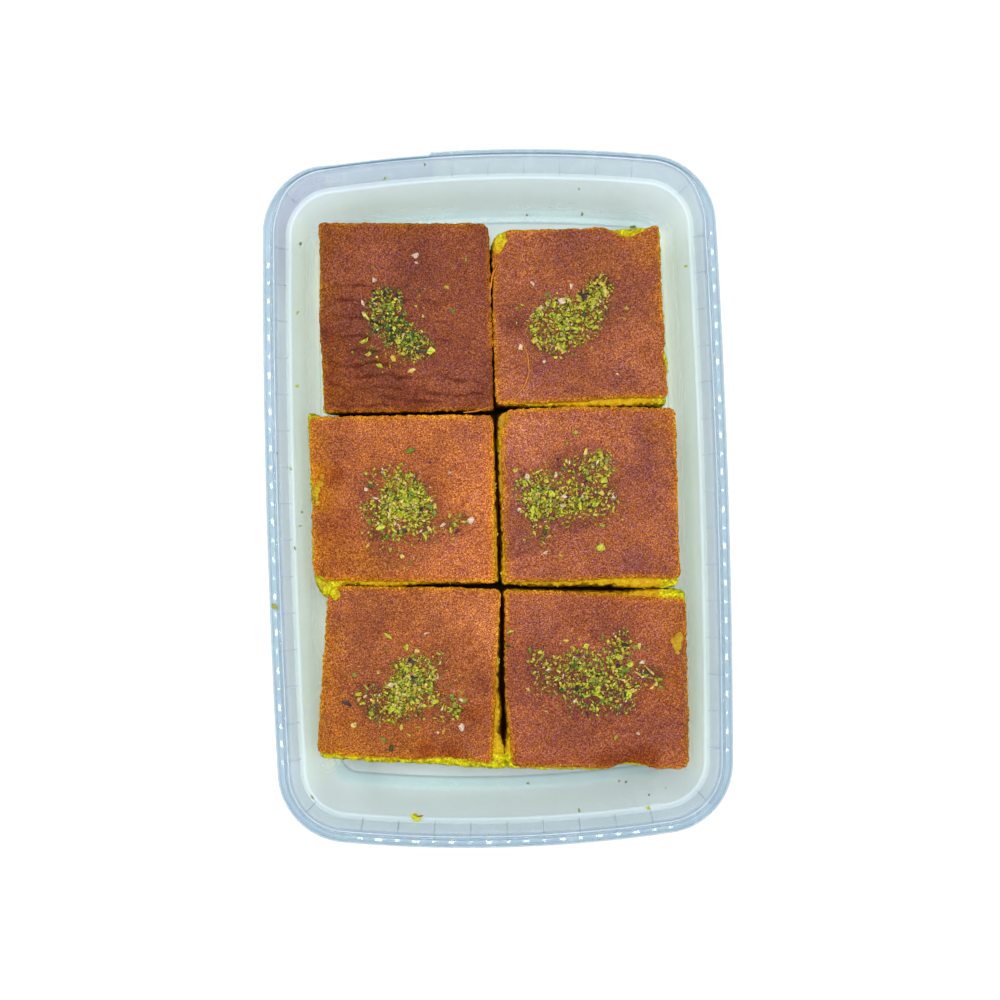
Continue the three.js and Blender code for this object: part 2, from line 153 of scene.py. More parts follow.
# Each cake's tables:
# crust and crumb: x and y of the outline's corners, before they are rounded
# marks: outline, x, y, reach, push in x and in y, and how far the crust sinks there
# tears in the crust: x, y, reach, strength and how golden
# creases: x and y of each of the crease's points
# tones: kind of patch, x, y, reach and strength
# heaps of chips: x, y, half length, half width, turn in degrees and number
# flecks, which are single chips: x, y, length, width, turn in degrees and shade
CAKES = [
    {
        "name": "cake_back_left", "seed": 11, "top": 31.4, "colour": (108, 49, 21),
        "dark_chips": 0.42,
        "round": [1.4, 1.4, 3.2, 1.6],
        "crust": table("-57.2 30.2, -0.5 29.3, -0.5 92.2, -57.2 94"),
        "crumb": table("-57.7 30.4, -0.4 29.5, -0.4 92, -57.6 93.8"),
        "marks": table("crust -58 62 18 -0.5 0 0.2, crust -0.5 62 40 0.45 0 0.2"),
        "tears": [],
        "creases": table("""
        -57 71.4 -52 72.4 -43 72.6 -36 71.4, -57 70 -52 68.2 -45.5 67.4 -40.5 65.4,
        -31 67 -24 67.2 -18 66 -12 66.2, -56 56.4 -50 55 -45 55.8 -41 54.2,
        -55 47.2 -48 45.4 -40 46.4 -34 44.8, -54.5 43.4 -46 41.8 -37 42.2 -28 40.6,
        -55 39.8 -47 37.8 -38 38.8 -30 37, -30 37.6 -22 36 -12 35 -4 34.8, -20 42.4 -12 39.6 -5 38.6,
        -53 62.6 -47 61.4 -43.5 61.6, -56 51.6 -50 50.4 -44 51 -38 49.6,
        -55.5 36 -47 34.2 -38 35 -28 33.4 -18 32.6, -55 33.2 -46 31.8 -36 32.2,
        -34 42.4 -26 41 -17 41.4, -26 60.6 -19 59.4 -10 60.4, -22 54 -14 53 -6 54"""),
        # The warm patches along the lower edge, beside the gap, are painted shade
        "tones": table("""
        gold -55 34 10 0.6, gold -42 36 10 0.5, gold -52 90 10 0.4, gold -36 48 9 0.5,
        warm -57.5 58 10 0.7, warm -50 44 20 0.5, warm -57 42 8 0.5, gold -57.5 70 9 0.8,
        gold -57.5 50 9 0.8, gold -57.5 86 8 0.8, gold -53 46 7 0.6, gold -51 54 5 0.5,
        gold -53 62.5 5 0.6, gold -52 71 5 0.5, gold -52 38 7 0.5, plum -25 80 14 0.5,
        plum -9.5 43 15 0.4, plum -44 64 5 0.8, warm -28 30 13 0.5, warm -48 31 11 0.5,
        warm -8 30 11 0.6, warm -30 34 16 0.4, warm -56 84 8 0.5, plum -3 66 9 0.4, gold -50 94 8 0.8,
        gold -28 93.5 10 0.7, gold -9 93 8 0.6"""),
        "heaps": table("""
        -35.2 67.2 5.4 4 0 100, -39.5 62 3 4.8 0 45, -34.8 60.2 5.2 4.8 0 90, -31 55.2 5.2 4.4 0 110,
        -26 51.4 5.4 4.6 20 140, -38.4 50.6 8.7 6.7 0 20, -32.4 60.4 12 14 0 30"""),
        "flecks": table("""
        -25.1 81.7 2.7 2 22 white, -24.8 79.3 1.3 1 2 white, -39.3 78.1 1.7 1.7 2 olive,
        -39 74 2 1.7 -28 white, -8.1 79.8 2 1 62 olive, -14.7 71 2 1.7 2 straw, -13 63.2 2 1.7 2 green,
        -43.6 66.5 2.7 1.3 -48 white, -42.4 62.1 4 1.3 -48 pale, -38.2 45.2 2.3 2 2 lime,
        -27.6 43.2 3.3 1.7 17 pale, -41.4 49.3 2.7 2 2 straw, -33.1 47.4 3 2 -58 straw,
        -21 50.1 3 2.3 47 lime"""),
    },
    {
        "name": "cake_back_right", "seed": 22, "top": 30.8, "colour": (124, 61, 27),
        "round": [1.6, 2.2, 1.2, 6.5],
        "crust": table("0.7 31.2, 58.2 31.5, 56.8 89.8, 1 89.6"),
        "crumb": table("0.3 30.7, 57.9 29.3, 57.3 89.6, 0.3 89.6"),
        "marks": table("""
        crust 46.5 90 9 0 -3.2 0.5, crust 58.5 46 4 -0.7 0 0.3, crust 42 30 22 0 0.9 0,
        crumb 57.5 43 5 0.7 0 0, crust 0.8 56 36 -0.7 0 0.2, crumb 30 30 34 0 -0.45 0"""),
        "tears": table("2 86 6.5 0.95 0.2"),
        "tones": table("""
        gold 54 84 12 0.5, gold 57 64 10 0.5, gold 36 78 12 0.35, light 14 37 15 0.5,
        plum 28.5 86 12 0.45, plum 7.6 57.7 7 1, warm 7.6 57.7 6 0.6, plum 15.5 42.4 9 0.7,
        plum 42.8 38.2 8 1, pink 7 36 12 0.4, warm 50.8 47.3 5 0.4, plum 46 65 12 0.5, light 57 64 5 0.5"""),
        "heaps": table("""
        24.7 58.3 11.4 7.4 10 460, 33.6 65.2 4.9 4.4 0 80, 36.4 69.8 4 4 0 70, 19.1 50.6 6 3.3 -20 45,
        26 59.4 17.4 12 15 60"""),
        "flecks": table("""
        14 71.5 2 0.8 -43 white, 8.4 63.3 1.3 1.2 2 olive, 16.9 45.3 1.7 1.3 82 white,
        21 46.5 2 2 2 lime, 19.1 41.2 1.5 1.3 2 brown, 41.5 40.2 1.2 1.2 2 white,
        52.7 57.3 2 1 32 brown, 27 70.1 2.3 1.7 42 white, 36.7 70.2 3 1.7 -48 straw,
        16.5 63.1 2 2 2 white, 23.5 64.9 2.7 2.3 2 white, 15.1 50.7 3.3 1 -63 straw,
        22.4 49.5 3 1.3 -58 straw, 14.1 52.1 2.7 2.3 2 straw"""),
    },
    {
        "name": "cake_middle_left", "seed": 33, "top": 31.0, "colour": (137, 68, 23),
        "round": [5.0, 2.0, 2.5, 1.6],
        "crust": table("-62.4 -25.6, -1.3 -28.4, -0.7 28.1, -62.2 29.1"),
        "crumb": table("-62.6 -26.2, -0.2 -28.9, -0.2 28, -62.8 29.2"),
        "marks": table("""
        crumb -59 -27.5 8.5 0.3 -5.2 0, crumb -61.5 29.5 3.8 -0.5 1.4 0, crumb -42 -28 26 0 -1.5 0,
        crust -62.5 3 9 0.6 0 0.4, crust -56 8 7 0 0 0.7"""),
        "tears": table("""
        -58.4 8.8 1.8 0.6 0.9, -58.9 6.6 2 0.6 0.8, -60.4 4.4 2.2 0.65 0.5, -60.6 2.2 2 0.65 0.5,
        -59.8 0.2 1.8 0.6 0.7, -58.6 -1.8 1.6 0.55 0.9, -60.5 -27 4.5 0.9 0.3"""),
        "tones": table("""
        gold -61 20 13 0.6, gold -60 4 12 0.8, gold -60 -16 14 0.8, gold -44 -22 14 0.6,
        plum -46 2 12 0.5, light -6 22 12 0.4, light -5 -0.5 14 0.9, light -13 -20 17 1,
        light -7 12 12 0.6, light -25 -20 10 0.3, plum -10 20.7 7 0.8, plum -38 -15.5 10 0.8,
        warm -56.5 -22 9 0.5, warm -54.6 9 6 1, warm -55 -8 11 0.6, plum -52 22 12 0.5,
        gold -59 10.5 5 1, gold -58.6 5 6 1, gold -57.4 -1 5 0.8, light -6 15 9 0.4"""),
        "heaps": table("""
        -31.2 1.7 6.5 6.5 0 330, -29 -2.4 7.8 6 0 300, -37.6 -3.5 6.7 4.7 0 110, -33.9 9.7 5.3 2.7 0 30,
        -32.8 -10.4 11.4 2.7 0 50, -41.8 0.6 4 10 0 20, -26.1 -9.9 10 4.7 0 25,
        -14.4 -7.6 4.7 2.7 15 16, -33 -16.4 10 5.3 0 12"""),
        "flecks": table("""
        -28.4 16.6 3.3 1.7 2 green, -22.1 12.7 1 0.8 2 black, -15.6 8.8 1.3 1 2 white,
        -22.4 4.3 0.8 0.8 2 white, -42 5.3 2 1.7 92 dgreen, -43.7 4.3 1.7 1.3 2 white,
        -27.3 7.2 3.7 0.7 62 black, -31.8 -10.4 2.3 1.7 2 black, -18.4 -8.5 2.3 1.7 2 white,
        -9 -7.4 2.7 2.3 42 white, -14 -7.2 3 1 27 brown, -12.6 -5.3 2.3 1.3 52 olive,
        -13.8 -10.6 2 1 32 black, -22.8 -9.7 2.3 1.3 -43 pale, -15.2 -12.9 1.7 1.3 2 straw,
        -32.4 -18.4 2 1.7 -28 pale, -36 -15.9 1.3 1.2 2 lime2, -43.6 -14.4 2 1 42 straw,
        -36.3 -3.9 3.7 1.3 82 pale, -39.1 -8.5 3.3 2 17 lime"""),
    },
    {
        "name": "cake_middle_right", "seed": 44, "top": 30.6, "colour": (130, 65, 30),
        "round": [1.6, 3.0, 2.0, 4.5],
        "crust": table("1.2 -28.2, 60.4 -29, 60.4 28.4, 2 29.6"),
        "crumb": table("0.4 -29.3, 60.3 -31, 60.2 28.3, 0.4 29.3"),
        "marks": table("""
        crust 2.5 26 5 1.4 0 0.4, crust 45 -29 20 0 0.8 0, crust 1.2 -20 12 0.5 0 0,
        crust 32 29 36 0 0.7 0.2, crumb 34 29 36 0 0.5 0, crumb 50 -31 24 0 -1 0,
        crumb 22 -30 22 0 -0.5 0"""),
        "tears": table("2.5 27 3.6 0.8 0.4"),
        "tones": table("""
        gold 57 22 9 0.5, light 5 0 9 0.5, light 7 -24 10 0.4, pink 8 19 15 0.6, plum 50 19.6 9 0.5,
        plum 48 9 9 0.9, plum 5.4 -15.8 8 0.8, plum 47 -22 8 0.9, light 59 -2.4 5 0.4,
        pink 28 23.6 13 0.3, pink 25 -19.8 11 0.2"""),
        "heaps": table("""
        12.6 2.3 6.7 5.5 0 160, 17.5 -1.2 7.6 5 0 120, 15.7 -5.1 4.7 3.3 0 40, 11.8 -4.3 2.4 4.7 0 35,
        25.9 -1.4 7 5.4 0 130, 33.9 10 4.9 4.9 0 90, 34.2 -1.7 4.9 7.3 0 70, 30.4 5.1 8.7 8 0 60,
        21.2 8.7 13.4 4 10 25, 13.8 -14.4 4.7 4.7 0 10, 24.1 -5.4 16.7 5.3 0 50"""),
        "flecks": table("""
        26.6 21 2 1.7 2 lime2, 23.8 17.7 1.7 1 82 olive, 15.6 -11.8 2.3 1.7 62 dgreen,
        34.1 -17.4 3.3 2.7 2 lime, 10.1 6.7 2.3 2 2 white, 13.8 8.3 4.3 0.8 22 pale,
        6.5 9.2 2 1.3 32 straw, 7.1 -4.2 1.7 1.3 2 white, 11.7 -5 4.3 1.7 87 lime,
        11.9 -12 2.3 1 -78 lime, 16.8 -13.5 2.7 1 12 lime2, 14.8 -15.4 2 1 -38 pale,
        15.3 -18.8 1.7 1.3 2 white, 20.7 -19.6 1.7 1.3 2 straw, 41.4 -8.6 1.3 1.3 2 pale,
        30 14.2 3 1.3 77 pale, 31.3 11.5 2 1.7 2 straw, 35.3 13 3.3 1 87 lime, 35.8 5 2.7 2 2 lime,
        22.3 0 2 1.7 2 white, 28.3 -0.2 2 1.3 92 white"""),
    },
    {
        "name": "cake_front_left", "seed": 55, "top": 30.9, "colour": (129, 64, 22),
        "round": [3.0, 2.2, 1.6, 6.0],
        "crust": table("-62.9 -83.4, -4.3 -88.8, 0.2 -30.9, -57.4 -27.4"),
        "crumb": table("-62.6 -85.4, -2.2 -90.9, 0.2 -31, -57.4 -27.8"),
        "marks": table("""
        crust -17 -88 14 0 1.2 0.6, crumb -58 -29 6 1.4 -1.4 0, crumb -2 -88 11 2.7 -0.3 0,
        crumb -1.2 -72 14 0.6 0 0, crumb -40 -28.5 22 0 0.6 0, crust -16 -30 22 0 0.6 0.2,
        crumb -16 -30 20 0 0.4 0"""),
        "tears": table("-6.5 -71 3 0.35 0.9, -56.2 -28.6 6 0.95 0"),
        "tones": table("""
        gold -60 -46 12 0.5, gold -60 -62 14 0.6, gold -54 -80 15 0.6, gold -34 -80 12 0.5,
        light -54 -32 11 0.35, light -6 -84 9 0.5, plum -46 -58 12 0.5, light -10 -37 17 0.85,
        light -3 -47 11 0.6, plum -23.7 -41.7 8 0.4, plum -44.8 -45 9 0.7, warm -44.8 -45 7 0.3,
        plum -7.6 -62 7 0.9, warm -7.6 -62 6 0.5, warm -10.6 -72 7 0.7, warm -26 -82.5 6 1,
        warm -18 -84 6 1, warm -55 -77 12 0.3, warm -58 -59 8 0.3"""),
        "heaps": table("""
        -29.4 -58.3 6.3 5.8 0 240, -34 -64.4 6 4.9 0 220, -27.7 -63.1 5.6 4.9 0 90,
        -36.2 -69.5 8.7 4 0 80, -43.7 -66 4.7 4.7 0 30, -19.2 -69.4 4.7 4 0 35, -21.4 -55 2.7 4 0 12,
        -34.1 -54.6 2.7 2 0 10, -31 -63 16 13.4 0 50"""),
        "flecks": table("""
        -37.8 -44.9 3.3 1.3 -38 lime, -31.6 -48.7 2.3 1.7 62 lime, -28.3 -50.2 2 1.7 2 pale,
        -25.1 -44.3 1.3 1.3 2 white, -50 -73.8 2.7 2 17 pale, -52.1 -66.8 4 1.2 -28 black,
        -34.3 -75.3 2.3 1.3 82 straw, -40.8 -79.7 3 1.5 -8 green, -37.9 -82.2 2.7 1.7 92 dgreen,
        -14 -75.9 2.7 2.3 52 white, -31.8 -77.7 2 1 -48 straw, -16.8 -66.2 2.7 1.5 87 green,
        -14.1 -66.9 2 1 -48 white, -16.2 -68.8 2.3 1.7 -18 olive, -49.5 -57.5 2.3 1.3 62 olive,
        -48 -63.9 2.3 1.3 2 lime, -48.1 -65.9 2 1.3 32 straw, -20.1 -77 2.3 1 62 straw,
        -22.1 -77.6 1.3 1 32 white, -22.5 -67.3 2.7 1.7 2 lime, -37.3 -61.9 2.7 2 32 white,
        -35 -63.9 2 2 2 pale, -26.8 -68.5 2.3 1.3 2 lime"""),
    },
    {
        "name": "cake_front_right", "seed": 66, "top": 31.3, "colour": (126, 61, 27),
        "round": [2.6, 4.0, 2.6, 2.2],
        "crust": table("2.2 -89.8, 61.4 -92.4, 62 -35.2, 1.6 -31"),
        "crumb": table("0.9 -91.2, 61.5 -92.3, 62.2 -33.6, 0.8 -30.6"),
        "marks": table("""
        crust 42 -92 9 0 1.9 0.9, crumb 42 -92 10 0 1.4 0, crumb 0.9 -87 12 -1.3 0 0,
        crust 1.8 -60 28 -1.3 0 0.2, crumb 0.8 -56 28 -0.3 0 0, crumb 54 -34 20 0 1.1 0,
        crust 22 -32.5 26 0 0.6 0.2, crust 58.6 -50 4 0 0 0.3"""),
        "tears": table("""
        58.7 -51.3 2.5 0.8 0.8, 59.2 -48 2.2 0.8 0.8, 57.3 -49.2 1.8 0.75 0.8, 58.6 -53.4 1.6 0.7 0.8"""),
        "tones": table("""
        gold 57 -42 9 0.4, gold 57 -62 10 0.5, light 4 -74 10 0.45, pink 14 -37 11 0.3,
        plum 12 -44 12 0.5, plum 17.5 -78.5 11 0.5, warm 40.6 -88.5 8 1, warm 33 -88.5 6 0.9,
        warm 48 -87.5 7 0.9, warm 47 -90 6 1, plum 53.5 -79 11 0.45, warm 52.3 -65.6 10 0.4,
        plum 30 -60 22 0.3"""),
        "heaps": table("""
        29.1 -58.1 11.4 5.6 0 170, 32.2 -64.9 11.4 5.6 0 180, 38.6 -53.4 4.7 4.7 0 60,
        40.1 -48.5 2.7 4 0 25, 15.8 -59.4 5.3 6 0 60, 11.9 -55 3.3 5.3 0 15, 24.2 -54.7 4 3.3 0 30,
        49 -60.4 4.7 3.3 -30 16, 38.7 -70.1 5.3 3.3 0 20, 28.8 -69.8 8 4 0 20, 31.1 -59.9 22 14.7 0 60"""),
        "flecks": table("""
        2.9 -44.7 1.7 1.7 2 lime, 2.1 -49.4 1.7 1 2 dgreen, 9.4 -50.9 2.7 1.3 82 green,
        11 -40.3 2 1.3 -48 brown, 46.8 -56.7 2.3 1.7 47 white, 49.4 -59.1 4 0.8 -43 pale,
        44.7 -51 2 1.7 2 olive, 52.3 -62.2 2.7 1.7 2 olive, 52.6 -64.9 2 1.7 2 olive,
        49.6 -64.4 2.3 1 32 pale, 37.1 -81 1.7 1.3 92 lime, 14.1 -71.4 1.2 1.2 2 white,
        44.5 -79.6 1.2 1 2 white, 23.4 -51 2.3 1.3 -18 lime2, 28 -50.2 2.3 2 2 lime,
        38.5 -57.1 2 1.3 82 black, 41.1 -58.5 3 1.7 -3 green, 8.6 -64.2 2 1.3 -43 pale,
        45.1 -60 3.7 1.3 -48 straw, 42.1 -71.2 2 2 2 olive, 41.5 -66.2 3.7 2 -58 lime,
        30.4 -61.5 3 2 62 green"""),
    },
]

# Where each shade of pistachio starts on the material's ramp, and its red, green and blue
NUT_RAMP = table("""
    0 162 166 26, 0.24 142 150 16, 0.46 116 122 14, 0.6 88 114 8, 0.68 44 68 9, 0.71 146 96 16,
    0.77 170 148 48, 0.87 182 166 82, 0.94 186 164 146, 0.975 38 26 34""")
FLECK_SHADES = {
    "lime": 0.1, "lime2": 0.3, "olive": 0.5, "green": 0.63, "dgreen": 0.69, "brown": 0.74,
    "straw": 0.82, "pale": 0.9, "white": 0.96, "black": 0.99,
}
DARK_SHADES = [0.63, 0.69, 0.69, 0.99]
DARK_CHIPS = 0.03
CHIP_SHAPES = 28

# Specks of pistachio on the tub: x, y, z, size and shade
TUB_SPECKS = table("""
    -20.4 108.9 47.3 0.9 green, -33.8 105.7 42.2 1.5 lime2, -64 88.1 25.6 1.6 olive, -65 64 29.3 1.4 lime,
    -65.7 39.3 32.3 1.4 lime, -71.1 16.5 47.6 0.9 olive, -67.6 11.4 39.9 1.3 lime2,
    -65.6 -2.7 28.7 1.1 olive, -65.9 -7.4 32.7 0.9 olive, -67.1 -14.6 39.5 0.9 olive,
    30.5 103 29.1 0.9 brown, 32.6 99.2 1.6 1.2 olive, 50.4 94.2 1.3 1.6 olive, -63.7 -96.4 40.2 1.2 olive,
    -73 -33.4 48 2.4 lime2, 23.9 -104 35.5 1.5 olive, 46.4 -103.3 39.8 1.8 lime, 65 75.6 31.9 1.2 lime,
    47.9 -101.1 26 0.8 black, 7.7 -99.4 1.3 1 brown, 39.5 -99.4 2.6 1 brown, 41.8 -99.6 4.1 1 dgreen,
    54.2 -99.7 20.5 0.8 brown, 13.3 99.5 1.4 0.8 brown""")

# Crumbs on the tub's front ledge: x, y, z, size and shade
LEDGE_CRUMBS = table("""
    -30.2 -104 40.2 2.4 0.8, -29.2 -104.3 40.4 2.2 0.6, -28.6 -103.7 40.3 1.6 0.1,
    -30.8 -103.4 39.9 1.6 0.9, -29.6 -104.9 40.6 1.6 0.8, -29.8 -103.4 40.4 1.4 0.3""")

# Saffron threads over the cakes and in the gaps between them: x, y and z of each of a thread's points
THREADS = table("""
    9.5 52.5 31 11.6 47.5 31 11.9 41.5 31 10 36.6 31 6.2 33 31 4.6 31.8 30.8,
    2.2 16 30.9 2.6 11.5 31 3.6 7 30.9, -10.5 28.9 31.3 -6 29.2 31.5 -2 30.4 31.4,
    2.3 78 31.1 0.9 75 31 -0.1 71.5 30.8 -0.5 68.5 30.6 -0.5 65 30.3,
    1.2 76.5 31.1 0.2 73.8 31 0.1 70.5 30.7""")
THREAD_RADIUS = 0.22
THREAD_STEP = 0.5
THREAD_SIDES = 8


def hashed(ix, iy, iz, seed):
    """Repeatable numbers from 0 to 1 for whole-number places."""
    value = ix * 374761393 + iy * 668265263 + iz * 1442695041 + seed * 974634777
    value = value & 0xFFFFFFFF
    value = ((value ^ (value >> 13)) * 1274126177) & 0xFFFFFFFF
    value = ((value ^ (value >> 15)) * 2246822519) & 0xFFFFFFFF
    return (value ^ (value >> 16)) / 4294967295.0


def noise(points, size, seed=0):
    """Smooth noise from -1 to 1 whose lumps are about size across."""
    scaled = points / size
    whole = np.floor(scaled).astype(np.int64)
    part = scaled - whole
    part = part * part * (3 - 2 * part)
    total = np.zeros(len(points))
    for corner in np.ndindex(2, 2, 2):
        weight = np.prod(np.where(corner, part, 1 - part), axis=1)
        total += weight * hashed(*(whole + corner).T, seed)
    return 2 * total - 1


def pores(points, size, seed=0):
    """Distance to the nearest scattered point, in cells: 0 in a pore's middle, about 1 between pores."""
    scaled = points / size
    whole = np.floor(scaled).astype(np.int64)
    nearest = np.full(len(points), 9.0)
    for step in np.ndindex(3, 3, 3):
        cell = whole + step - 1
        spot = np.column_stack([cell[:, axis] + hashed(*cell.T, seed + axis) for axis in range(3)])
        nearest = np.minimum(nearest, np.sum((scaled - spot) ** 2, axis=1))
    return np.sqrt(nearest)


def smooth(low, high, value):
    """0 below low, 1 above high, and a smooth step between them."""
    share = np.clip((value - low) / (high - low), 0, 1)
    return share * share * (3 - 2 * share)


def linear(colour):
    """A colour given from 0 to 255, as linear light."""
    return tuple((c / 255 / 12.92) if c < 10 else ((c / 255 + 0.055) / 1.055) ** 2.4 for c in colour)


def turned(x, y, degrees):
    """x and y turned about the middle, anticlockwise."""
    angle = math.radians(degrees)
    return x * math.cos(angle) - y * math.sin(angle), x * math.sin(angle) + y * math.cos(angle)


def at_height(points, height=0.0):
    """The points' x and y, with this height."""
    return np.column_stack([points[:, :2], np.full(len(points), height)])


def spaced(path, count, endpoint=True):
    """Evenly spaced points along a path."""
    way = way_along(path)
    wanted = np.linspace(0, way[-1], count, endpoint=endpoint)
    return np.column_stack([np.interp(wanted, way, values) for values in path.T])


def way_along(path):
    """How far along a path each of its points lies."""
    return np.concatenate([[0], np.cumsum(np.linalg.norm(np.diff(path, axis=0), axis=1))])


def make_object(name, points, faces, materials, fields=None, flat=False, which=None):
    """An object from points in millimetres. Each array of faces holds faces with equally many corners."""
    mesh = bpy.data.meshes.new(name)
    corners = np.concatenate([group.ravel() for group in faces])
    totals = np.concatenate([np.full(len(group), group.shape[1]) for group in faces])
    mesh.vertices.add(len(points))
    mesh.vertices.foreach_set("co", (np.asarray(points) * MM).astype(np.float32).ravel())
    mesh.loops.add(len(corners))
    mesh.loops.foreach_set("vertex_index", corners.astype(np.int32))
    mesh.polygons.add(len(totals))
    mesh.polygons.foreach_set("loop_start", np.append(0, np.cumsum(totals)[:-1]).astype(np.int32))
    mesh.polygons.foreach_set("use_smooth", np.full(len(totals), not flat))
    for field, values in (fields or {}).items():
        attribute = mesh.attributes.new(field, "FLOAT", "POINT")
        attribute.data.foreach_set("value", np.asarray(values).astype(np.float32))
    mesh.update(calc_edges=True)
    mesh.validate()
    for material in materials:
        mesh.materials.append(material)
    if which is not None:
        mesh.polygons.foreach_set("material_index", np.asarray(which).astype(np.int32))
    return place_object(name, mesh)


def place_object(name, data):
    made = bpy.data.objects.new(name, data)
    bpy.context.scene.collection.objects.link(made)
    return made


def ring_faces(rings, count, first=0):
    """Quads between closed rings of count points each."""
    low = first + np.arange(rings - 1)[:, None] * count
    here = np.arange(count)[None, :]
    after = (here + 1) % count
    quads = np.stack([low + here, low + after, low + count + after, low + count + here], axis=-1)
    return quads.reshape(-1, 4)


def fan_faces(ring_start, count, centre, outward):
    """Triangles from a ring to a centre point."""
    here = ring_start + np.arange(count)
    after = np.roll(here, -1)
    order = [here, after] if outward else [after, here]
    return np.stack([*order, np.full(count, centre)], axis=-1)


def grid_faces(count):
    """Quads of a square grid, count points a side."""
    index = np.arange(count ** 2).reshape(count, count)
    quads = np.stack([index[:-1, :-1], index[:-1, 1:], index[1:, 1:], index[1:, :-1]], axis=-1)
    return quads.reshape(-1, 4)


# Materials


class Shader:
    """A material's node tree, with short ways to add nodes and join them."""

    def __init__(self, name):
        self.material = bpy.data.materials.new(name)
        self.material.use_nodes = True
        self.tree = self.material.node_tree
        self.surface = self.tree.nodes["Principled BSDF"]

    def join(self, value, socket):
        if isinstance(value, bpy.types.NodeSocket):
            self.tree.links.new(value, socket)
        elif isinstance(value, tuple) and len(value) == 3 and len(socket.default_value) == 4:
            socket.default_value = (*value, 1)
        else:
            socket.default_value = value

    def set(self, **values):
        """Values or outputs for the surface's own inputs."""
        for name, value in values.items():
            self.join(value, self.surface.inputs[name.replace("_", " ")])

    def node(self, kind, output, inputs, **settings):
        """The output of a new node, whose inputs go by name or number."""
        node = self.tree.nodes.new("ShaderNode" + kind)
        for name, value in settings.items():
            setattr(node, name, value)
        for name, value in inputs.items():
            self.join(value, node.inputs[name])
        return node.outputs[output]

    def place(self):
        return self.node("TexCoord", "Object", {})

    def field(self, name):
        return self.node("Attribute", "Fac", {}, attribute_name=name)

    def noise(self, size_mm, detail=2.0, stretch=(1, 1, 1), roughness=0.5, warp=0.0):
        place = self.node("Mapping", 0, {"Vector": self.place(), "Scale": [1 / s for s in stretch]})
        return self.node("TexNoise", "Fac", {
            "Vector": place, "Scale": 1 / (size_mm * MM), "Detail": detail, "Roughness": roughness,
            "Distortion": warp})

    def cells(self, size_mm):
        return self.node("TexVoronoi", "Distance", {"Vector": self.place(), "Scale": 1 / (size_mm * MM)})

    def span(self, value, low, high, out_low=0.0, out_high=1.0):
        return self.node("MapRange", "Result", {
            "Value": value, "From Min": low, "From Max": high, "To Min": out_low, "To Max": out_high})

    def math(self, kind, *values):
        return self.node("Math", 0, dict(enumerate(values)), operation=kind)

    def mix(self, share, a, b, blend="MIX"):
        inputs = {0: share, 6: a, 7: b}
        return self.node("Mix", 2, inputs, data_type="RGBA", blend_type=blend, clamp_factor=True)

    def layers(self, colour, rows, blend="MIX"):
        """A colour with more laid over it. Each row is a share, or the field that holds it, and a colour."""
        for share, laid in rows:
            share = self.field(share) if isinstance(share, str) else share
            colour = self.mix(share, colour, laid if blend == "MULTIPLY" else linear(laid), blend)
        return colour

    def bump(self, height, strength, depth_mm, under=None):
        normal = {} if under is None else {"Normal": under}
        return self.node("Bump", "Normal", {
            "Strength": strength, "Distance": depth_mm * MM, "Height": height, **normal})


def plastic_material(name, alpha, dark=(0.0, 0.0), gloss=0.1):
    """Clear polypropylene: pale, a little cloudy, with faint smears, and glints where it is glossy.

    dark is how much painted shade it gets at the sides and back, and at the front.
    """
    shader = Shader(name)
    cloud = shader.noise(22, detail=3)
    smear = shader.noise(5, detail=3, stretch=(1, 5, 1), warp=0.6)
    streak = shader.noise(1.3, detail=2, stretch=(60, 60, 1))
    # Painted light: lighter down the lower wall, lighter still low in the tub, and white on the floor panel,
    # against the shade of the cakes and the tub
    base = shader.layers(linear((150, 186, 203)), [
        ("wall", (168, 217, 224)), ("low", (212, 242, 248)), ("panel", (255, 255, 255)),
    ])
    # Painted light, tinted yellow, on the side walls, and painted shade on the back and the front
    base = shader.layers(base, [
        ("side", (1.25, 1.12, 0.92)), ("back", (0.70, 0.82, 0.82)), ("front", (0.56, 0.68, 0.68)),
    ], "MULTIPLY")
    streaks = shader.math("MULTIPLY", shader.field("wall"), shader.span(streak, 0.55, 0.7, 0, 0.35))
    base = shader.layers(base, [
        ("lilac", (96, 132, 176)),
        ("blue", (110, 150, 174)),
        (shader.span(cloud, 0.35, 0.65, 0, 0.16), (120, 160, 160)),
        (shader.span(smear, 0.55, 0.75, 0, 0.2), (200, 222, 236)),
        (streaks, (206, 220, 244)),
        # Painted highlights: the light lines where the plastic bends sharply, and the ribs at the sides and
        # back
        ("light", (212, 226, 252)),
    ])
    # Painted shade: on the ribs at the front, in the dark lines where the plastic bends sharply, and along
    # the bare panel's edge
    shade = shader.math("MULTIPLY_ADD", shader.field("facing"), dark[1] - dark[0], dark[0])
    base = shader.layers(base, [(shader.math("MAXIMUM", shade, shader.field("dark")), (70, 92, 96))])
    uneven = shader.bump(shader.noise(3.2, detail=1), 0.02, 0.35)
    shader.set(Base_Color=base, Roughness=0.35, Alpha=alpha, IOR=1.49)
    shader.set(Coat_Weight=gloss, Coat_Roughness=0.05, Coat_Normal=uneven)
    return shader.material


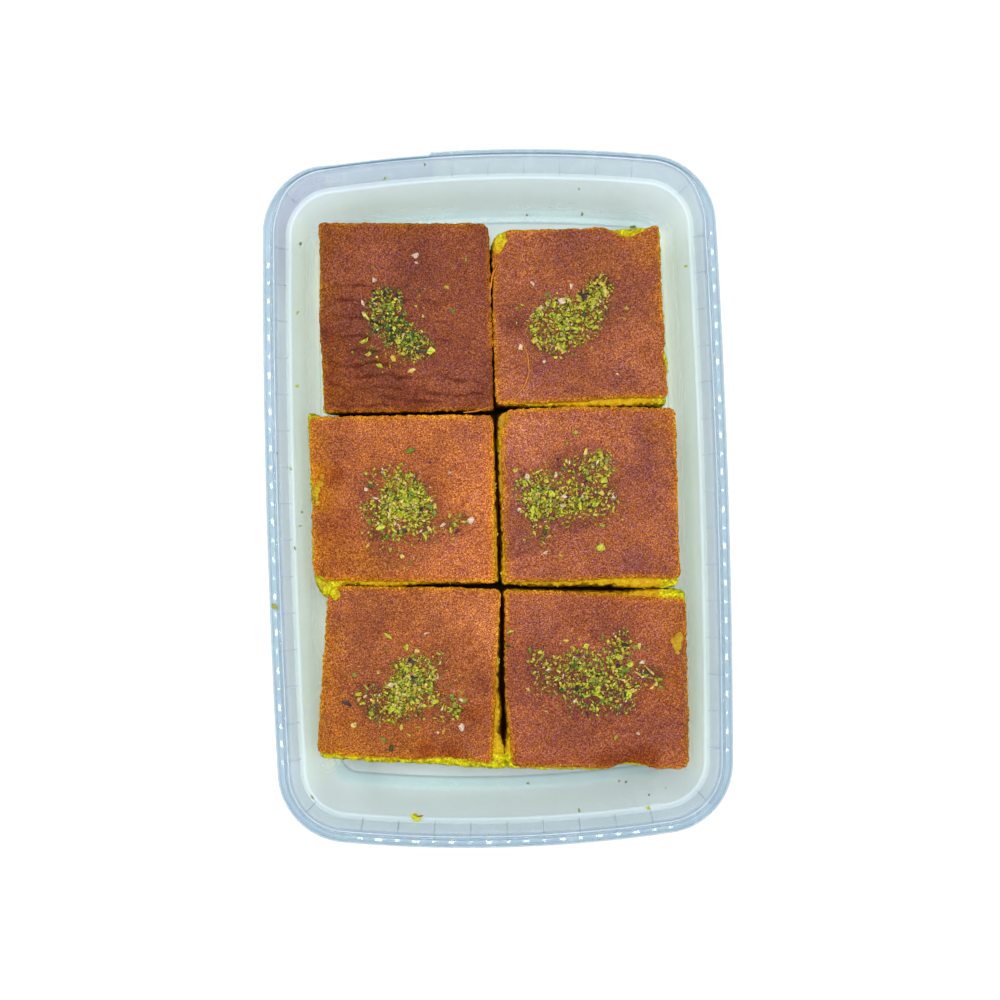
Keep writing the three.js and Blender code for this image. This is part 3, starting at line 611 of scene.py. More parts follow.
def cake_material(cake):
    """Brown crust and yellow crumb, told apart by the fields that the mesh carries."""
    shader = Shader(cake["name"] + "_sponge")
    grain = shader.noise(0.42, detail=2, roughness=0.62, warp=0.9)
    hue = shader.noise(1.0, detail=1)
    mood = shader.noise(3.2, detail=2)

    # Crust: the cake's own brown, tinted by its patches, a golden edge and a fine grain, with a painted
    # sheen in the light patches, painted light down the edge and painted shade in the creases
    broken = shader.span(shader.noise(0.8), 0.4, 0.6, 0.3, 1)
    colour = shader.layers(linear(cake["colour"]), [
        # The light patches paint a sheen on the crust
        *PATCHES.items(),
        ("near", (1.16, 1.18, 0.36)),
        # The golden edge is partly the crust's own colour and partly painted light down its rounded edge
        (shader.math("MULTIPLY", shader.field("edge"), broken), (2.2, 3.6, 0.6)),
        (shader.math("MULTIPLY", shader.field("stain"), 0.95), (0.44, 0.40, 0.62)),
        # Painted shade in the creases
        ("crease", (0.36, 0.16, 0.05)),
        (shader.span(mood, 0.5, 0.66, 0, 0.5), (0.78, 0.74, 1.0)),
        (shader.span(mood, 0.5, 0.34, 0, 0.5), (1.2, 1.25, 0.9)),
        (shader.span(hue, 0.5, 0.66, 0, 0.7), (0.94, 0.88, 2.0)),
        (shader.span(hue, 0.5, 0.34, 0, 0.7), (1.05, 1.0, 0.2)),
        (shader.span(grain, 0.5, 0.38), (0.44, 0.28, 0.14)),
        (shader.span(grain, 0.51, 0.64), (2.0, 3.1, 5.6)),
    ], "MULTIPLY")

    # Crumb: bright saffron yellow, darker and more orange in its pores and deep in the gaps, where the
    # darkness is painted shade
    mottle = shader.noise(0.8, detail=3, roughness=0.75)
    hole = shader.cells(1.3)
    crumb = shader.layers(linear((140, 118, 0)), [
        (shader.span(mottle, 0.38, 0.62), (208, 212, 12)),
        # Painted shade in the pores
        (shader.span(hole, 0.35, 0.08, 0, 0.6), (140, 92, 2)),
        (shader.math("MULTIPLY", shader.field("pore"), 0.6), (124, 84, 2)),
        # In the gaps the crumb is more orange, and darker as painted shade
        (shader.math("MULTIPLY", shader.field("inner"), 0.6), (184, 124, 4)),
        ("golden", (154, 112, 26)),
        ("deep", (84, 44, 6)),
    ])

    ragged = shader.span(shader.noise(0.9, detail=2), 0, 1, -0.25, 0.25)
    crust_share = shader.math("ADD", shader.field("crust"), ragged)
    colour = shader.mix(shader.span(crust_share, 0.42, 0.58), crumb, colour)
    rough = shader.span(shader.noise(1.1), 0.3, 0.7, 0.45, 0.65)
    normal = shader.bump(hole, 0.4, 0.3, shader.bump(grain, 0.5, 0.15))
    shader.set(Base_Color=colour, Roughness=rough, Normal=normal, Specular_IOR_Level=0.1)
    return shader.material


def nut_material():
    """Ground pistachio: each chip has its own shade, and is darker low down, in its neighbours' shade."""
    shader = Shader("ground_pistachio")
    ramp = shader.tree.nodes.new("ShaderNodeValToRGB")
    ramp.color_ramp.interpolation = "CONSTANT"
    stops = ramp.color_ramp.elements
    for number, (place, *shade) in enumerate(NUT_RAMP):
        stop = stops[number] if number < 2 else stops.new(place)
        stop.position = place
        stop.color = (*linear(shade), 1)
    shader.join(shader.field("shade"), ramp.inputs["Fac"])
    mottle = shader.noise(0.6, detail=2)
    colour = shader.layers(ramp.outputs["Color"], [
        (shader.span(shader.field("level"), 0.6, 0.1), (0.3, 0.26, 0.3)),
        (shader.span(mottle, 0.5, 0.36), (0.6, 0.5, 0.3)),
        (shader.span(mottle, 0.52, 0.66), (1.3, 1.3, 1.0)),
    ], "MULTIPLY")
    shader.set(Base_Color=colour, Roughness=0.62, Normal=shader.bump(mottle, 0.4, 0.1))
    return shader.material


def two_tone_material(name, share, dark, pale, rough):
    """A material between two colours. share is a noise's size in millimetres, or the field that holds it."""
    shader = Shader(name)
    tone = shader.field(share) if isinstance(share, str) else shader.noise(share)
    shader.set(Base_Color=shader.layers(linear(dark), [(tone, pale)]), Roughness=rough)
    return shader


# The tub


def outline_arcs():
    """The tub's outline: eight arcs, anticlockwise from the low end of the right side."""
    half_length = TUB_LENGTH / 2
    half_width = TUB_WIDTH / 2
    side = (half_length ** 2 + SIDE_BOW ** 2) / (2 * SIDE_BOW)
    end = (half_width ** 2 + END_BOW ** 2) / (2 * END_BOW)
    side_x = half_width - side
    end_y = half_length - end

    reach_side = side - CORNER_RADIUS
    reach_end = end - CORNER_RADIUS
    apart = math.hypot(side_x, end_y)
    along = (reach_side ** 2 - reach_end ** 2 + apart ** 2) / (2 * apart)
    off = math.sqrt(reach_side ** 2 - along ** 2)
    to_end = (-side_x / apart, end_y / apart)
    corner_x = side_x + along * to_end[0] - off * to_end[1]
    corner_y = along * to_end[1] + off * to_end[0]
    low = math.atan2(corner_y, corner_x - side_x)
    high = math.atan2(corner_y - end_y, corner_x)
    turn = math.pi
    arcs = [
        (side_x, 0, side, -low, low),
        (corner_x, corner_y, CORNER_RADIUS, low, high),
        (0, end_y, end, high, turn - high),
        (-corner_x, corner_y, CORNER_RADIUS, turn - high, turn - low),
        (-side_x, 0, side, turn - low, turn + low),
        (-corner_x, -corner_y, CORNER_RADIUS, turn + low, turn + high),
        (0, -end_y, end, turn + high, 2 * turn - high),
        (corner_x, -corner_y, CORNER_RADIUS, 2 * turn - high, 2 * turn - low),
    ]
    return np.array(arcs), np.append(0, np.cumsum([arc[2] * (arc[4] - arc[3]) for arc in arcs]))


ARCS, ARC_STARTS = outline_arcs()


def outline_at(ways):
    """Points and outward directions on the outer outline, at ways along it in millimetres."""
    which = np.clip(np.searchsorted(ARC_STARTS, ways, side="right") - 1, 0, len(ARCS) - 1)
    arcs = ARCS[which]
    angle = arcs[:, 3] + (ways - ARC_STARTS[which]) / arcs[:, 2]
    out = np.column_stack([np.cos(angle), np.sin(angle)])
    return arcs[:, :2] + arcs[:, 2:3] * out, out


def tub_section():
    """The tub's section as (inset, height) from the floor's middle, over the rim, to the underside.

    Each group is an inset and a height, and the steps from there to the group's points.
    """
    facet = [FACET_INNER, FACET_INNER - 0.12, FACET_OUTER + 0.12, FACET_OUTER]
    groups = [
        (PANEL_INSET, FLOOR_TOP, table("0 0, -0.7 -0.7, -1.4 -0.7")),
        (FOOT_INSET, FLOOR_TOP, table("2.6 -0.7, 1.9 -0.7, 0.3 0.2, -0.3 2.4")),
        (LEDGE_INSET, LEDGE_HEIGHT, table("0.44 -2.4, 0.37 -1.6, 0.3 -0.9, 0 -0.1, -0.7 0.2, -1 0.8")),
        (RIM_WIDTH, TUB_HEIGHT, table("1.1 -1.9, 0.7 -1.5, 0.1 -0.5, -0.1 -0.1")),
        (RIM_WIDTH, TUB_HEIGHT, table("-0.5 -0.1, -0.8 -0.8, -1.1 -0.7, -1.4 -0.15")),
        (0, TUB_HEIGHT, [(inset, (inset - FACET_INNER) * FACET_SLOPE) for inset in facet]),
        (0, TUB_HEIGHT, table("1.3 -0.35, 0.8 -0.65, 0.3 -1.5")),
        (0, TUB_HEIGHT - SKIRT_DEPTH, [(0, 0), (WALL, 0)]),
        (WALL, TUB_HEIGHT, table("0.4 -1.9, 1.5 -1.35")),
        (RIM_WIDTH, TUB_HEIGHT, table("-1 -1.35, 0.2 -2.2")),
        (LEDGE_INSET, LEDGE_HEIGHT, table("-1.9 0.4, -1.3 -0.6, -0.8 -1.2")),
        (FOOT_INSET, FLOOR_TOP, table("-1.2 1.8")),
        (FOOT_INSET, 0, table("-0.5 0.6, 0.5 0")),
        (PANEL_INSET, 0, [(-0.9, 0), (-0.2, FLOOR_BOTTOM)]),
    ]
    return np.array([(inset + x, height + z) for inset, height, steps in groups for x, z in steps])


def fine_section():
    """The section with its corners rounded and its long stretches split."""
    points = tub_section()
    fine = [points[0]]
    for before, here, after in zip(points, points[1:], points[2:]):
        back = before - here
        forth = after - here
        start = here + back * min(SECTION_ROUND / np.linalg.norm(back), 0.4)
        end = here + forth * min(SECTION_ROUND / np.linalg.norm(forth), 0.4)
        parts = int(np.linalg.norm(start - fine[-1]) / SECTION_STEP) + 1
        fine.extend(np.linspace(fine[-1], start, parts, endpoint=False)[1:])
        fine.extend([start, 0.25 * start + 0.5 * here + 0.25 * end, end])
    return np.array([*fine, points[-1]])


def section_fields(section):
    """Fields along the section: which wall it is, and its fine lines of painted shade and painted highlight.
    """
    insets, heights = section.T
    dark = np.zeros(len(section))
    light = np.zeros(len(section))
    for height, inset, reach, strength in FINE_LINES:
        near = np.clip(1 - np.hypot(heights - height, insets - inset) / reach, 0, 1)
        dark = np.maximum(dark, -strength * near)
        light = np.maximum(light, strength * near)
    return {
        "blue": smooth(RIM_WIDTH + 0.7, RIM_WIDTH + 0.2, insets),
        "dark": dark,
        "light": light,
        # low and panel are painted lighter, as painted light against the shade of the cakes and the tub
        "low": smooth(14, 2.5, heights),
        "panel": smooth(PANEL_INSET - 0.5, PANEL_INSET - 0.2, insets) * (heights > 1.2),
        "wall": smooth(40.5, 38.5, heights),
    }


def scallops(ways):
    """0 where the rim's slope catches the light, a long stretch between gussets and a short one at each."""
    level = np.ones(len(ways))
    for arc, start, end in zip(ARCS, ARC_STARTS, ARC_STARTS[1:]):
        if arc[2] != CORNER_RADIUS:
            share = ((ways - (start + end) / 2) / GUSSET_PITCH) % 1
            from_gusset = np.minimum(share, 1 - share)
            shown = np.maximum(smooth(0.34, 0.42, from_gusset), smooth(0.12, 0.05, from_gusset))
            level = np.where((ways >= start) & (ways < end), 1 - shown, level)
    return level


def make_tub(body, rim):
    """The tub as rings round its outline, one for each point of its section."""
    section = fine_section()
    ways = np.linspace(0, ARC_STARTS[-1], round(ARC_STARTS[-1] / STATION_STEP), endpoint=False)
    outer, out = outline_at(ways)
    count = len(ways)
    inside_panel = np.minimum(outer[:, 0] - PANEL_LEFT, PANEL_RIGHT - outer[:, 0])
    inside_panel = np.where(outer[:, 1] > 0, inside_panel, -9.0)
    recess = smooth(-8, 8, outer[:, 0] - PANEL_LEFT) * smooth(0, 0.6, PANEL_RIGHT - outer[:, 0])
    recess = recess * (outer[:, 1] > 0)
    narrowing = BACK_NARROWING * smooth(0.3, 0.9, out[:, 1])
    level = scallops(ways)

    rings = []
    panel_edges = []
    panel_shares = []
    half = len(section) // 2
    for number, (inset, height) in enumerate(section):
        narrowed = smooth(FACET_OUTER, RIM_WIDTH - 1, inset) * smooth(LEDGE_HEIGHT, TUB_HEIGHT - 1.5, height)
        inward = inset - narrowing * narrowed + FINGER_RECESS * smooth(2.9, 0.6, inset) * recess
        past_edge = np.full(count, -9.0)
        if number < half and PANEL_LOW < height < PANEL_HIGH:
            # The bare panel's lower corners are round
            lift = max(0.0, PANEL_CORNER - (height - PANEL_LOW))
            past_edge = inside_panel - PANEL_CORNER + math.sqrt(max(0.0, PANEL_CORNER ** 2 - lift ** 2))
            inward = inward + PANEL_RELIEF * smooth(0, 0.8, past_edge)
        panel_edges.append(smooth(0.9, 0, np.abs(past_edge - 0.4)))
        panel_shares.append(smooth(0, 0.8, past_edge))
        sunk = 0
        if height > TUB_HEIGHT - 0.7 and inset < FACET_INNER:
            sunk = SCALLOP * level * min(1, (FACET_INNER - inset) / (FACET_INNER - FACET_OUTER))
        rings.append(at_height(outer - inward[:, None] * out, height - sunk))
    points = np.concatenate([*rings, [[0, 0, FLOOR_TOP], [0, 0, FLOOR_BOTTOM]]])
    last = len(rings) * count
    faces = [ring_faces(len(rings), count)[:, ::-1], fan_faces(0, count, last, True),
             fan_faces(last - count, count, last + 1, False)]

    along = section_fields(section)
    fields = {}
    for name, values in along.items():
        fields[name] = np.append(np.repeat(values, count), [values[0], values[-1]])
    upper = smooth(LEDGE_HEIGHT - 0.3, LEDGE_HEIGHT + 0.5, section[:, 1])[:, None]
    back_left = smooth(60, 85, outer[:, 1]) * smooth(PANEL_RIGHT + 3, PANEL_RIGHT - 3, outer[:, 0])
    wall = along["wall"][:, None]
    facing = smooth(0.0, -0.9, out[:, 1])
    # Painted light on the side walls and painted shade on the back and front walls; facing marks where the
    # ribs get painted shade
    strips = {
        "front": wall * facing * (1 - along["panel"][:, None]),
        "back": smooth(0.3, 0.8, out[:, 1]) * (1 - 0.3 * wall),
        "side": wall * smooth(0.75, 0.95, np.abs(out[:, 0])),
        "facing": np.tile(facing, (len(section), 1)),
        "lilac": upper * back_left * (1 - np.array(panel_shares)),
    }
    for name, values in strips.items():
        fields[name] = np.append(values.ravel(), [0, 0])
    # Painted shade along the bare panel's edge
    fields["dark"] = np.maximum(fields["dark"], np.append(0.35 * np.array(panel_edges).ravel(), [0, 0]))

    outside = np.arange(len(section)) >= half
    dense = (along["blue"] > 0.5) | (outside & (section[:, 1] > LEDGE_HEIGHT))
    which = np.append(np.repeat(dense[:-1] & dense[1:], count), np.zeros(2 * count))
    return make_object("tub_shell", points, faces, [body, rim], fields, which=which)


def make_gussets(material):
    """Thin plates under the rim that tie the skirt to the upper wall."""
    ways = []
    for arc, start, end in zip(ARCS, ARC_STARTS, ARC_STARTS[1:]):
        each = 0 if arc[2] == CORNER_RADIUS else int((end - start) / 2 / GUSSET_PITCH)
        ways.extend((start + end) / 2 + GUSSET_PITCH * np.arange(-each, each + 1))
    outer, out = outline_at(np.array(ways))
    keep = ~((outer[:, 1] > 0) & (outer[:, 0] > PANEL_LEFT) & (outer[:, 0] < PANEL_RIGHT))
    outer = outer[keep]
    out = out[keep]
    side = np.column_stack([-out[:, 1], out[:, 0]])
    plate = [
        (WALL + 0.05, TUB_HEIGHT - SKIRT_DEPTH + 0.7),
        (LEDGE_INSET - 0.98, LEDGE_HEIGHT + 1.1),
        (RIM_WIDTH + 1.3, TUB_HEIGHT - 2.2),
        (RIM_WIDTH - 1.0, TUB_HEIGHT - WALL - 0.15),
        (WALL + 0.9, TUB_HEIGHT - WALL - 0.15),
    ]
    points = []
    for middle, away, across in zip(outer, out, side):
        for half in (-GUSSET_THICKNESS / 2, GUSSET_THICKNESS / 2):
            points.extend((*(middle - inset * away + half * across), height) for inset, height in plate)
    corners = len(plate)
    first = 2 * corners * np.arange(len(outer))[:, None]
    here = np.arange(corners)
    faces = [first + here, first + corners + here[::-1]]
    for low, high in zip(here, np.roll(here, -1)):
        faces.append(first + (high, low, corners + low, corners + high))
    # Painted light on the ribs at the sides and back; their material paints shade on the ones at the front
    facing = np.repeat(smooth(0.0, -0.9, out[:, 1]), 2 * corners)
    fields = {"facing": facing, "light": 0.9 * (1 - facing)}
    return make_object("tub_gussets", np.array(points), faces, [material], fields, flat=True)


# The cakes


def corner_curve(before, here, after, radius, steps=12):
    """A short curve round a corner, from one side to the next."""
    start = here + (before - here) / np.linalg.norm(before - here) * radius
    end = here + (after - here) / np.linalg.norm(after - here) * radius
    share = np.linspace(0, 1, steps)[:, None]
    return (1 - share) ** 2 * start + 2 * share * (1 - share) * here + share ** 2 * end


def quad_outline(corners, radii):
    """Evenly spaced points round four rounded corners, each side from one corner's middle to the next."""
    corners = np.array(corners)
    curves = [corner_curve(corners[i - 1], corners[i], corners[(i + 1) % 4], radii[i]) for i in range(4)]
    sides = []
    for i in range(4):
        half = len(curves[i]) // 2
        path = np.concatenate([curves[i][half:], curves[(i + 1) % 4][:half + 1]])
        sides.append(spaced(path, POINTS_PER_SIDE, endpoint=False))
    return np.concatenate(sides)


def mark_weight(x, y, reach, points):
    """1 at a mark's middle, fading to 0 at its reach."""
    far = np.linalg.norm(points[:, :2] - (x, y), axis=1) / reach
    return np.where(far < 1, (1 - far ** 2) ** 2, 0)


def outward(points):
    """Outward directions of a closed outline that runs anticlockwise."""
    along = np.roll(points, -2, axis=0) - np.roll(points, 2, axis=0)
    out = np.column_stack([along[:, 1], -along[:, 0]])
    return out / np.linalg.norm(out, axis=1)[:, None]


def worked_outline(cake, which, wave, phase):
    """The crust's or the crumb's outline with its slow waves and its marks."""
    points = quad_outline(cake[which], cake["round"])
    turn = 2 * math.pi * np.arange(len(points)) / len(points)
    ripple = sum(share * np.sin(times * turn + shift * phase) for share, times, shift in RIPPLES)
    moved = points + wave * ripple[:, None] * outward(points)
    for on, x, y, reach, push_x, push_y, _sink in cake["marks"]:
        if on == which:
            moved = moved + mark_weight(x, y, reach, points)[:, None] * (push_x, push_y)
    return moved


def crust_relief(cake, points):
    """How far the crust stands above or below the cake's height: dents, a soft swell, grain and creases."""
    seed = cake["seed"]
    flat = at_height(points)
    height = 0.28 * noise(flat, 19, seed) + 0.14 * noise(flat, 7, seed + 1)
    height += 0.05 * noise(flat, 2.2, seed + 2)
    height += 0.045 * noise(flat, 1.0, seed + 3) + 0.0225 * noise(flat, 0.5, seed + 4)
    for _on, x, y, reach, _push_x, _push_y, sink in cake["marks"]:
        height -= sink * mark_weight(x, y, reach, points)
    return height - 0.45 * creases_of(cake, points)


def creases_of(cake, points):
    """1 in the middle of a crease in the crust, 0 a short way off."""
    share = np.zeros(len(points))
    flat = at_height(points)
    swayed = points[:, :2] + np.column_stack([share, 0.5 * noise(flat, 3.5, 61)])
    width = 0.48 + 0.35 * noise(flat, 5, 62)
    for line in cake.get("creases", []):
        line = np.reshape(line, (-1, 2))
        for start, along in zip(line, np.diff(line, axis=0)):
            part = np.clip((swayed - start) @ along / (along @ along), 0, 1)
            far = np.linalg.norm(swayed - start - part[:, None] * along, axis=1)
            share = np.maximum(share, smooth(1.0, 0.1, far / width))
    return share * (0.65 + 0.5 * noise(flat, 4, 63))


def tear_share(cake, points):
    """1 where the crust is torn away, with a ragged border, and how golden the crumb is there."""
    torn = np.zeros(len(points))
    golden = np.zeros(len(points))
    flat = at_height(points)
    rag = 0.30 * noise(flat, 2.6, cake["seed"] + 9) + 0.16 * noise(flat, 1.0, cake["seed"] + 10)
    for x, y, reach, strength, gold in cake["tears"]:
        weight = mark_weight(x, y, reach, points)
        torn = np.maximum(torn, strength * smooth(0.25, 0.6, weight + rag * (weight > 0)))
        golden = np.maximum(golden, gold * smooth(0, 0.1, weight))
    return torn, golden


def patches_of(cake, points):
    """How much of each kind of patch the crust shows: slow random ones, and the cake's own."""
    seed = cake["seed"]
    flat = at_height(points)
    drift = sum(noise(flat, 13 / 2 ** octave, seed + 20 + octave) / 2 ** (octave + 1) for octave in range(3))
    shares = {kind: np.zeros(len(points)) for kind in PATCHES}
    shares["plum"] += np.clip(drift, 0, 0.5)
    shares["pink"] += np.clip(-drift, 0, 0.5)
    rag = 1 + 0.35 * noise(flat, 2.5, seed + 21)
    for kind, x, y, reach, strength in cake["tones"]:
        shares[kind] += strength * rag * mark_weight(x, y, reach, points)
    return {kind: np.clip(values, 0, 1) for kind, values in shares.items()}


def gap_share(points):
    """1 in the gaps between the cakes, 0 round the outside of all six."""
    return smooth(56, 51, np.abs(points[:, 0])) * smooth(88, 82, np.abs(points[:, 1]))


def stain_of(cake, points):
    """Darker crust under and round the pistachio."""
    stain = np.zeros(len(points))
    for x, y, long, wide, degrees, number in cake["heaps"]:
        u, v = turned(points[:, 0] - x, points[:, 1] - y, -degrees)
        strength = min(1, 1.2 * number / (long * wide))
        stain = np.maximum(stain, strength * smooth(1.8, 0.6, np.hypot(u / long, v / wide)))
    return np.clip(stain * (0.75 + 0.4 * noise(at_height(points), 5, cake["seed"] + 30)), 0, 1)


def coons_grid(outline):
    """A grid of points filling a closed outline of four equal sides."""
    n = POINTS_PER_SIDE
    near = outline[0:n + 1]
    right = outline[n:2 * n + 1]
    far = outline[2 * n:3 * n + 1][::-1]
    left = np.concatenate([outline[3 * n:], outline[:1]])[::-1]
    u = np.linspace(0, 1, n + 1)[None, :, None]
    v = np.linspace(0, 1, n + 1)[:, None, None]
    ruled = (1 - v) * near[None] + v * far[None] + (1 - u) * left[:, None] + u * right[:, None]
    corners = (1 - v) * ((1 - u) * near[0] + u * near[-1]) + v * ((1 - u) * far[0] + u * far[-1])
    return (ruled - corners).reshape(-1, 2)


def grid_rim():
    """Indices of the grid's border points in the order of the outline."""
    n = POINTS_PER_SIDE
    index = np.arange((n + 1) ** 2).reshape(n + 1, n + 1)
    return np.concatenate([index[0, :-1], index[:-1, -1], index[-1, :0:-1], index[:0:-1, 0]])


def crust_rings(cake, crust):
    """Rings over the crust's ragged edge."""
    seed = cake["seed"]
    flat = at_height(crust)
    ragged = 0.06 * noise(flat, 3.4, seed + 4) + 0.16 * noise(flat, 1.4, seed + 5)
    ragged += 0.26 * noise(flat, 0.8, seed + 13)
    rings = []
    for inset, drop, share in CRUST_RINGS:
        ring = crust - (inset - share * ragged)[:, None] * outward(crust)
        rings.append(at_height(ring, cake["top"] - drop))
    return rings


def crumb_rings(cake, crumb):
    """Rings down the cut sides, with their lumps and pores."""
    seed = cake["seed"]
    out = outward(crumb)
    crumb_top = cake["top"] - CRUST_THICKNESS - 0.5
    tall = crumb_top - CAKE_BOTTOM
    rings = []
    for height in crumb_top - tall * np.linspace(0, 1, CRUMB_RINGS) ** 1.6:
        above = height - CAKE_BOTTOM
        below = crumb_top - height
        inset = np.interp(above, [0, 0.7, 2.6, 12, tall - 4, tall], [2.2, 1.4, 0.8, 0.1, 0, 0.35])
        limit = np.interp(above, [0, 2.6, 12], [BOTTOM_REACH, BOTTOM_REACH + 1.4, 80])
        spots = at_height(crumb - inset * out, height)
        spots[:, 0] = np.clip(spots[:, 0], -limit, limit)
        gap = gap_share(spots)
        fringe = smooth(6, 0, below)
        push = 0.12 * noise(spots, 5, seed + 6) + (0.16 + 0.3 * fringe) * noise(spots, 1.7, seed + 7)
        push += (0.1 + 0.15 * fringe) * noise(spots, 0.8, seed + 16)
        push -= 0.75 * smooth(0.62, 0.2, pores(spots, 1.9, seed + 8)) * smooth(0, 2, above)
        push = np.where(push > 0, push * (1 - 0.8 * gap), push)
        push += 0.3 * gap * smooth(1.5, 4, below) * smooth(0, 4, above)
        spots[:, :2] += push[:, None] * out
        rings.append(spots)
    return rings


def shelf_rings(cake, edge, side, width):
    """Rings over the shelf of crumb that stands out past the crust, in low lumps."""
    seed = cake["seed"]
    rings = []
    for share in np.arange(1, SHELF_RINGS + 1) / (SHELF_RINGS + 1):
        spots = (1 - share) * edge + share * side
        lumps = 0.45 * noise(spots, 1.3, seed + 17) + 0.25 * noise(spots, 0.7, seed + 18)
        spots[:, 2] += smooth(0.4, 1.8, width) * (0.5 * math.sin(math.pi * share) + lumps)
        rings.append(spots)
    return rings


def clinging_crumbs(cake, sides, width):
    """Small crumbs on the cut sides where the shelf is wide, each with its three sizes, turn and shade."""
    draw = np.random.default_rng(cake["seed"] + 200)
    bare = np.flatnonzero(width > 0.9)
    crumbs = []
    for spot in draw.choice(bare, CLINGING_CRUMBS) if len(bare) else []:
        x, y, z = sides[draw.integers(0, 5)][spot]
        size = draw.uniform(0.5, 1.2)
        crumbs.append((x, y, z, size, size, size, draw.uniform(0, math.tau), draw.uniform(0.3, 0.7)))
    return crumbs


def edge_distance(points, outline):
    """Distance from each point to a closed outline, from its nearest corner point."""
    nearest = np.full(len(points), 1e9)
    for spot in outline[::3]:
        nearest = np.minimum(nearest, (points[:, 0] - spot[0]) ** 2 + (points[:, 1] - spot[1]) ** 2)
    return np.sqrt(nearest)


def make_cake(cake, material):
    """One square: a grid for the crust's top, rings over its edge and down the crumb, and a flat base."""
    seed = cake["seed"]
    crust = worked_outline(cake, "crust", CRUST_WAVE, seed)
    crumb = worked_outline(cake, "crumb", CRUMB_WAVE, seed + 1)
    count = len(crust)
    grid = at_height(coons_grid(crust - GRID_INSET * outward(crust)), cake["top"])
    edges = crust_rings(cake, crust)
    sides = crumb_rings(cake, crumb)
    width = np.linalg.norm(sides[0][:, :2] - edges[-1][:, :2], axis=1)
    rings = [*edges, *shelf_rings(cake, edges[-1], sides[0], width), *sides]
    points = np.concatenate([grid, *rings, [[*crumb.mean(axis=0), CAKE_BOTTOM]]])
    brown = len(grid) + len(edges) * count

    # The crust's own relief, fading out down its edge, and the tears sunk into it
    depth = cake["top"] - points[:, 2]
    fade = smooth(4.0, 1.2, depth)
    torn, golden = tear_share(cake, points)
    far_in = edge_distance(points, crust)
    points[:, 2] += fade * (crust_relief(cake, points) - 0.16 * smooth(2.6, 0.6, far_in))
    pitted = smooth(0.6, 0.2, pores(points, 1.6, seed + 12))
    points[:, 2] -= fade * torn * (0.55 + 0.5 * pitted)

    # Fields for the material
    edge_reach = 1.5 + 0.8 * noise(points, 5, seed + 14)
    near_reach = 3.2 + 1.6 * noise(points, 12, seed + 15)
    gap = gap_share(points)
    middle_gap = gap * smooth(4, 3, np.abs(points[:, 0]))
    gap_start = np.where(middle_gap > 0.5, 1.7 + 2.4 * np.clip(noise(points, 9, 72) - 0.1, 0, 1), 2.8)
    crust_share = smooth(CRUST_THICKNESS + 0.5, CRUST_THICKNESS - 0.5, depth) * (1 - torn)
    crust_share[brown:] = 0
    # The edge field is partly the crust's golden border and partly painted light down its rounded edge
    edge = 0.6 * smooth(1, 0, far_in / edge_reach) + smooth(0.15, 0.9, depth)
    fields = {
        "crust": crust_share,
        "edge": np.clip(edge, 0, 1),
        "near": smooth(1, 0, far_in / near_reach),
        # crease: painted shade in the crust's creases
        "crease": creases_of(cake, points),
        # pore and deep: painted shade in the crumb's pores and deep in the gaps between the cakes
        "pore": smooth(0.62, 0.2, pores(points, 1.9, seed + 8)),
        "deep": smooth(0, 1, (depth - gap_start) / (1.6 * gap_start)) * gap,
        "golden": golden,
        "inner": gap,
        "stain": stain_of(cake, points),
        **patches_of(cake, points),
    }

    rim = grid_rim()
    first = len(grid) + np.arange(count)
    seam = np.stack([rim, first, np.roll(first, -1), np.roll(rim, -1)], axis=-1)
    faces = [
        grid_faces(POINTS_PER_SIDE + 1),
        seam,
        ring_faces(len(rings), count, len(grid))[:, ::-1],
        fan_faces(len(points) - 1 - count, count, len(points) - 1, False),
    ]
    sponge = make_object(cake["name"] + "_sponge", points, faces, [material], fields)
    return sponge, clinging_crumbs(cake, sides, width)


# Pistachio, saffron, crumbs and syrup, whose dark colour is painted shade


def chip_shapes(number, seed):
    """Angular chips: hulls of a few points on uneven, flattened balls about one millimetre across."""
    draw = np.random.default_rng(seed)
    shapes = []
    for _ in range(number):
        spots = draw.normal(size=(draw.integers(9, 15), 3))
        spots /= np.linalg.norm(spots, axis=1)[:, None]
        spots *= 0.62 * draw.uniform(0.7, 1.1, size=(len(spots), 1))
        spots *= np.array([draw.uniform(0.9, 1.5), draw.uniform(0.55, 1.0), draw.uniform(0.3, 0.65)])
        work = bmesh.new()
        for spot in spots:
            work.verts.new(spot)
        bmesh.ops.convex_hull(work, input=work.verts)
        bmesh.ops.delete(work, geom=[v for v in work.verts if not v.link_faces], context="VERTS")
        bmesh.ops.triangulate(work, faces=work.faces)
        work.verts.index_update()
        triangles = np.array([[v.index for v in face.verts] for face in work.faces])
        shapes.append((np.array([v.co for v in work.verts]), triangles))
        work.free()
    return shapes


def tipped(draw, tip):
    """A random lean of up to tip either way, about x and about y."""
    lean, roll = draw.uniform(-tip, tip, size=2)
    return np.array(Matrix.Rotation(lean, 3, "X") @ Matrix.Rotation(roll, 3, "Y"))


